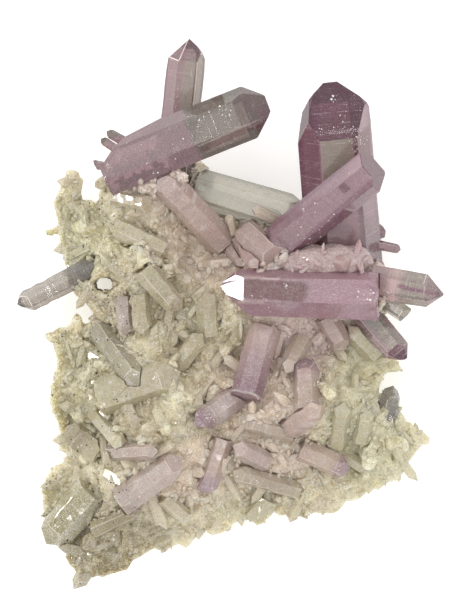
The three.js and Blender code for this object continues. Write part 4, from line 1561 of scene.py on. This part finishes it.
@dataclass
class Overgrowth:
    """Tiny flakes that sparkle on the crystals and the plate, in millimetres."""

    name: str = "sparkling_flakes"
    size: tuple[float, float] = (0.12, 0.6)
    seed: int = 31

    def make(self, seats: list[Seat], finish: bpy.types.Material) -> bpy.types.Object:
        """Grows a flake on every seat and puts them in the frame as one piece.

        Args:
            seats: Where they grow.
            finish: The flakes' material.

        Returns:
            The finished piece.
        """
        chance = random.Random(self.seed)
        shape = bmesh.new()
        for seat in seats:
            self.flake(shape, seat.place, seat.normal, chance)
        piece = to_object(shape, self.name)
        piece.data.materials.append(finish)
        settle(piece, "clear_quartz")
        return piece

    def flake(self, shape: bmesh.types.BMesh, place: Vector, normal: Vector, chance: random.Random) -> None:
        """Adds one flake: a low pyramid half sunk in the face under it.

        Args:
            shape: The mesh that it is added to.
            place: Where it sits.
            normal: The direction of the face under it.
            chance: The source of its random sizes.
        """
        width = (self.size[0] + (self.size[1] - self.size[0]) * chance.random() ** 3) * MM
        lean = Vector([chance.uniform(-0.35, 0.35) for _ in range(3)])
        turn_to = (normal + lean).normalized().to_track_quat("Z", "Y").to_matrix().to_4x4()
        stretch = Matrix.Diagonal((1, chance.uniform(0.35, 1), 1, 1))
        spin = Matrix.Rotation(chance.uniform(0, math.pi), 4, "Z")
        bmesh.ops.create_cone(
            shape, cap_ends=True, cap_tris=False, segments=chance.choice((3, 4, 6)), radius1=width / 2,
            radius2=0.3 * width, depth=0.3 * width, matrix=Matrix.Translation(place) @ turn_to @ spin @ stretch,
        )


@dataclass
class Studio:
    """The floor, the lights and the camera."""

    frame_height: float = 0.120
    focus_height: float = 0.020
    camera_height: float = 1.25
    centre: tuple[float, float] = (0.0, 0.00226)
    sensor: float = 36.0
    zenith: float = 1.3
    horizon: float = 0.64
    key: float = 2.4
    spark: float = 0.12

    def floor(self) -> None:
        """Lays the floor under the specimen."""
        shape = bmesh.new()
        bmesh.ops.create_grid(shape, x_segments=8, y_segments=8, size=4.0)
        bmesh.ops.translate(shape, verts=shape.verts[:], vec=(0, 0, -0.1 * MM))
        ground = to_object(shape, "floor")
        ground.data.materials.append(FloorFinish().material())

    def softbox(
        self, name: str, place: Vector, size: tuple[float, float], power: float, aim: Vector
    ) -> None:
        """Hangs a softbox.

        Args:
            name: Its name.
            place: Where it hangs.
            size: Its width and height in metres.
            power: Its power in watts.
            aim: The point that it faces.
        """
        lamp = bpy.data.lights.new(name, "AREA")
        lamp.shape, lamp.size, lamp.size_y, lamp.energy = "RECTANGLE", *size, power
        box = bpy.data.objects.new(name, lamp)
        box.location = place
        box.rotation_euler = (aim - place).to_track_quat("-Z", "Y").to_euler()
        box.visible_camera = False
        bpy.context.scene.collection.objects.link(box)

    def mirror_softbox(self, name: str, node: str, toward: Vector, power: float, size: float = 0.09) -> None:
        """Hangs a small softbox where one face of a crystal mirrors it into the camera.

        Args:
            name: Its name.
            node: The crystal's solid.
            toward: Roughly the way that the face looks.
            power: Its power in watts.
            size: Its width in metres.
        """
        shape = bmesh.new()
        shape.from_mesh(frame["nodes"][node].data)
        way = toward.normalized()
        best = max(shape.faces, key=lambda face: face.normal.dot(way) + 200 * face.calc_area())
        normal, place = best.normal.copy(), best.calc_center_median()
        shape.free()
        mirrored = (2 * normal.z * normal - UP).normalized()
        self.softbox(name, place + mirrored * 0.7, (size, size), power, place)

    def light(self) -> None:
        """Lights the specimen softly from all sides, with a few small softboxes for glints."""
        world = bpy.data.worlds.new("studio")
        bpy.context.scene.world = world
        world.use_nodes = True
        tree = world.node_tree
        sky = tree.nodes["Background"]
        sky.inputs["Color"].default_value = (1, 1, 1, 1)
        height = tree.nodes.new("ShaderNodeSeparateXYZ")
        tree.links.new(tree.nodes.new("ShaderNodeTexCoord").outputs["Generated"], height.inputs[0])
        rise = tree.nodes.new("ShaderNodeMapRange")
        rise.interpolation_type = "SMOOTHSTEP"
        for key, number in (("From Min", -0.1), ("From Max", 1.0), ("To Min", self.horizon), ("To Max", self.zenith)):
            rise.inputs[key].default_value = number
        tree.links.new(height.outputs[2], rise.inputs["Value"])
        tree.links.new(rise.outputs[0], sky.inputs["Strength"])
        aim = Vector((0, 0, 0.015))
        self.softbox("key", Vector((-0.2, 0.3, 1.6)), (1.0, 1.0), self.key, aim)
        for index, (turn, height) in enumerate(((15, 62), (75, 50), (130, 68), (200, 55), (255, 70), (320, 52))):
            way = Vector((math.cos(math.radians(turn)), math.sin(math.radians(turn)), 0))
            rise = math.radians(height)
            place = way * math.cos(rise) * 0.9 + UP * math.sin(rise) * 0.9
            self.softbox(f"spark_{index}", place, (0.04, 0.04), self.spark, aim)
        self.mirror_softbox("tip_spark", "front_crystal", Vector((-0.75, 0.1, 0.7)), 1.5)

    def shoot(self) -> None:
        """Sets up the camera straight above the specimen, as a long lens sees it."""
        data = bpy.data.cameras.new("camera")
        data.sensor_fit, data.sensor_width = "AUTO", self.sensor
        data.lens = self.sensor * (self.camera_height - self.focus_height) / self.frame_height
        data.clip_end = 10
        camera = bpy.data.objects.new("camera", data)
        camera.location = (*self.centre, self.camera_height)
        bpy.context.scene.collection.objects.link(camera)
        bpy.context.scene.camera = camera
        bpy.context.scene.view_settings.view_transform = "Standard"

    def make(self) -> None:
        """Sets up the whole studio."""
        self.floor()
        self.light()
        self.shoot()


def main() -> None:
    """Builds the specimen and its studio, piece by piece."""
    logging.basicConfig(level=logging.INFO, format="%(message)s")
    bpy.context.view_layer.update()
    plate = Rock().make()
    large = {crystal.node: crystal.make() for crystal in LARGE}
    medium = [replace(crystal, wear=0.22, painted_edge_highlights=0.25).make() for crystal in MEDIUM]
    druse = DruseFinish().material()
    ground = Ground(plate, list(large.values()), medium)
    Druse("druse_points", (4.0, 8.5), (0.32, 0.5), (-6, 8), 0.42, 11, druse).make(ground.from_above(4.2, 12, 1.2, 2.4))
    Druse("druse_short", (2.0, 4.0), (0.6, 1.0), (0, 26), 0.52, 19, druse).make(ground.from_above(2.8, 20, 0.6, 1.4))
    Druse("druse_grains", (0.8, 1.6), (0.8, 1.2), (0, 70), 0.5, 13, druse).make(ground.from_above(1.9, 14, 0.4, 0.7))
    Druse("rim_grains", (0.6, 1.6), (0.6, 0.9), (5, 50), 0.5, 15, druse).make(ground.from_sides(3.2, 16))
    Druse("root_grains", (0.7, 1.8), (0.6, 1.1), (10, 70), 0.4, 17, druse).make(ground.round_roots(0.45, 18))
    rosy = DruseFinish("rosy_druse_quartz", Tone.HEATHER, 0.6, grain=0.2, shade=Tone.MAUVE).material()
    mass = Mass("root_mass", Vector((19.3, 9.8, 24.2)), Vector((9.6, 3.8, 3.8)), 5, rosy).make()
    roots = Ground(mass, [], [])
    for index, root in enumerate(ROOTS):
        seats = roots.spot(root.x, root.y, root.reach, root.count, 40 + index, on_rock=True)
        Druse(f"root_cluster_{index}", (1.6, 4.0), (0.3, 0.55), (-4, 24), 0.4, 60 + index, rosy).make(seats)
    flakes = [seat for index, shine in enumerate(SPARKLES)
              for seat in ground.spot(shine.x, shine.y, shine.reach, shine.count, 80 + index)]
    # The flakes get the white finish: their white is painted sparkle.
    Overgrowth().make(flakes, PaintedGlintFinish().material())
    # White flakes at the listed glint places: painted glints.
    shines = [seat for index, shine in enumerate(GLINTS)
              for seat in ground.spot(shine.x, shine.y, shine.reach, shine.count, 160 + index)]
    Overgrowth("white_glints", (0.25, 0.8), 37).make(shines, PaintedGlintFinish("glint", Tone.GLINT, Tone.GLINT).material())
    Studio().make()


if __name__ == "__main__":
    main()
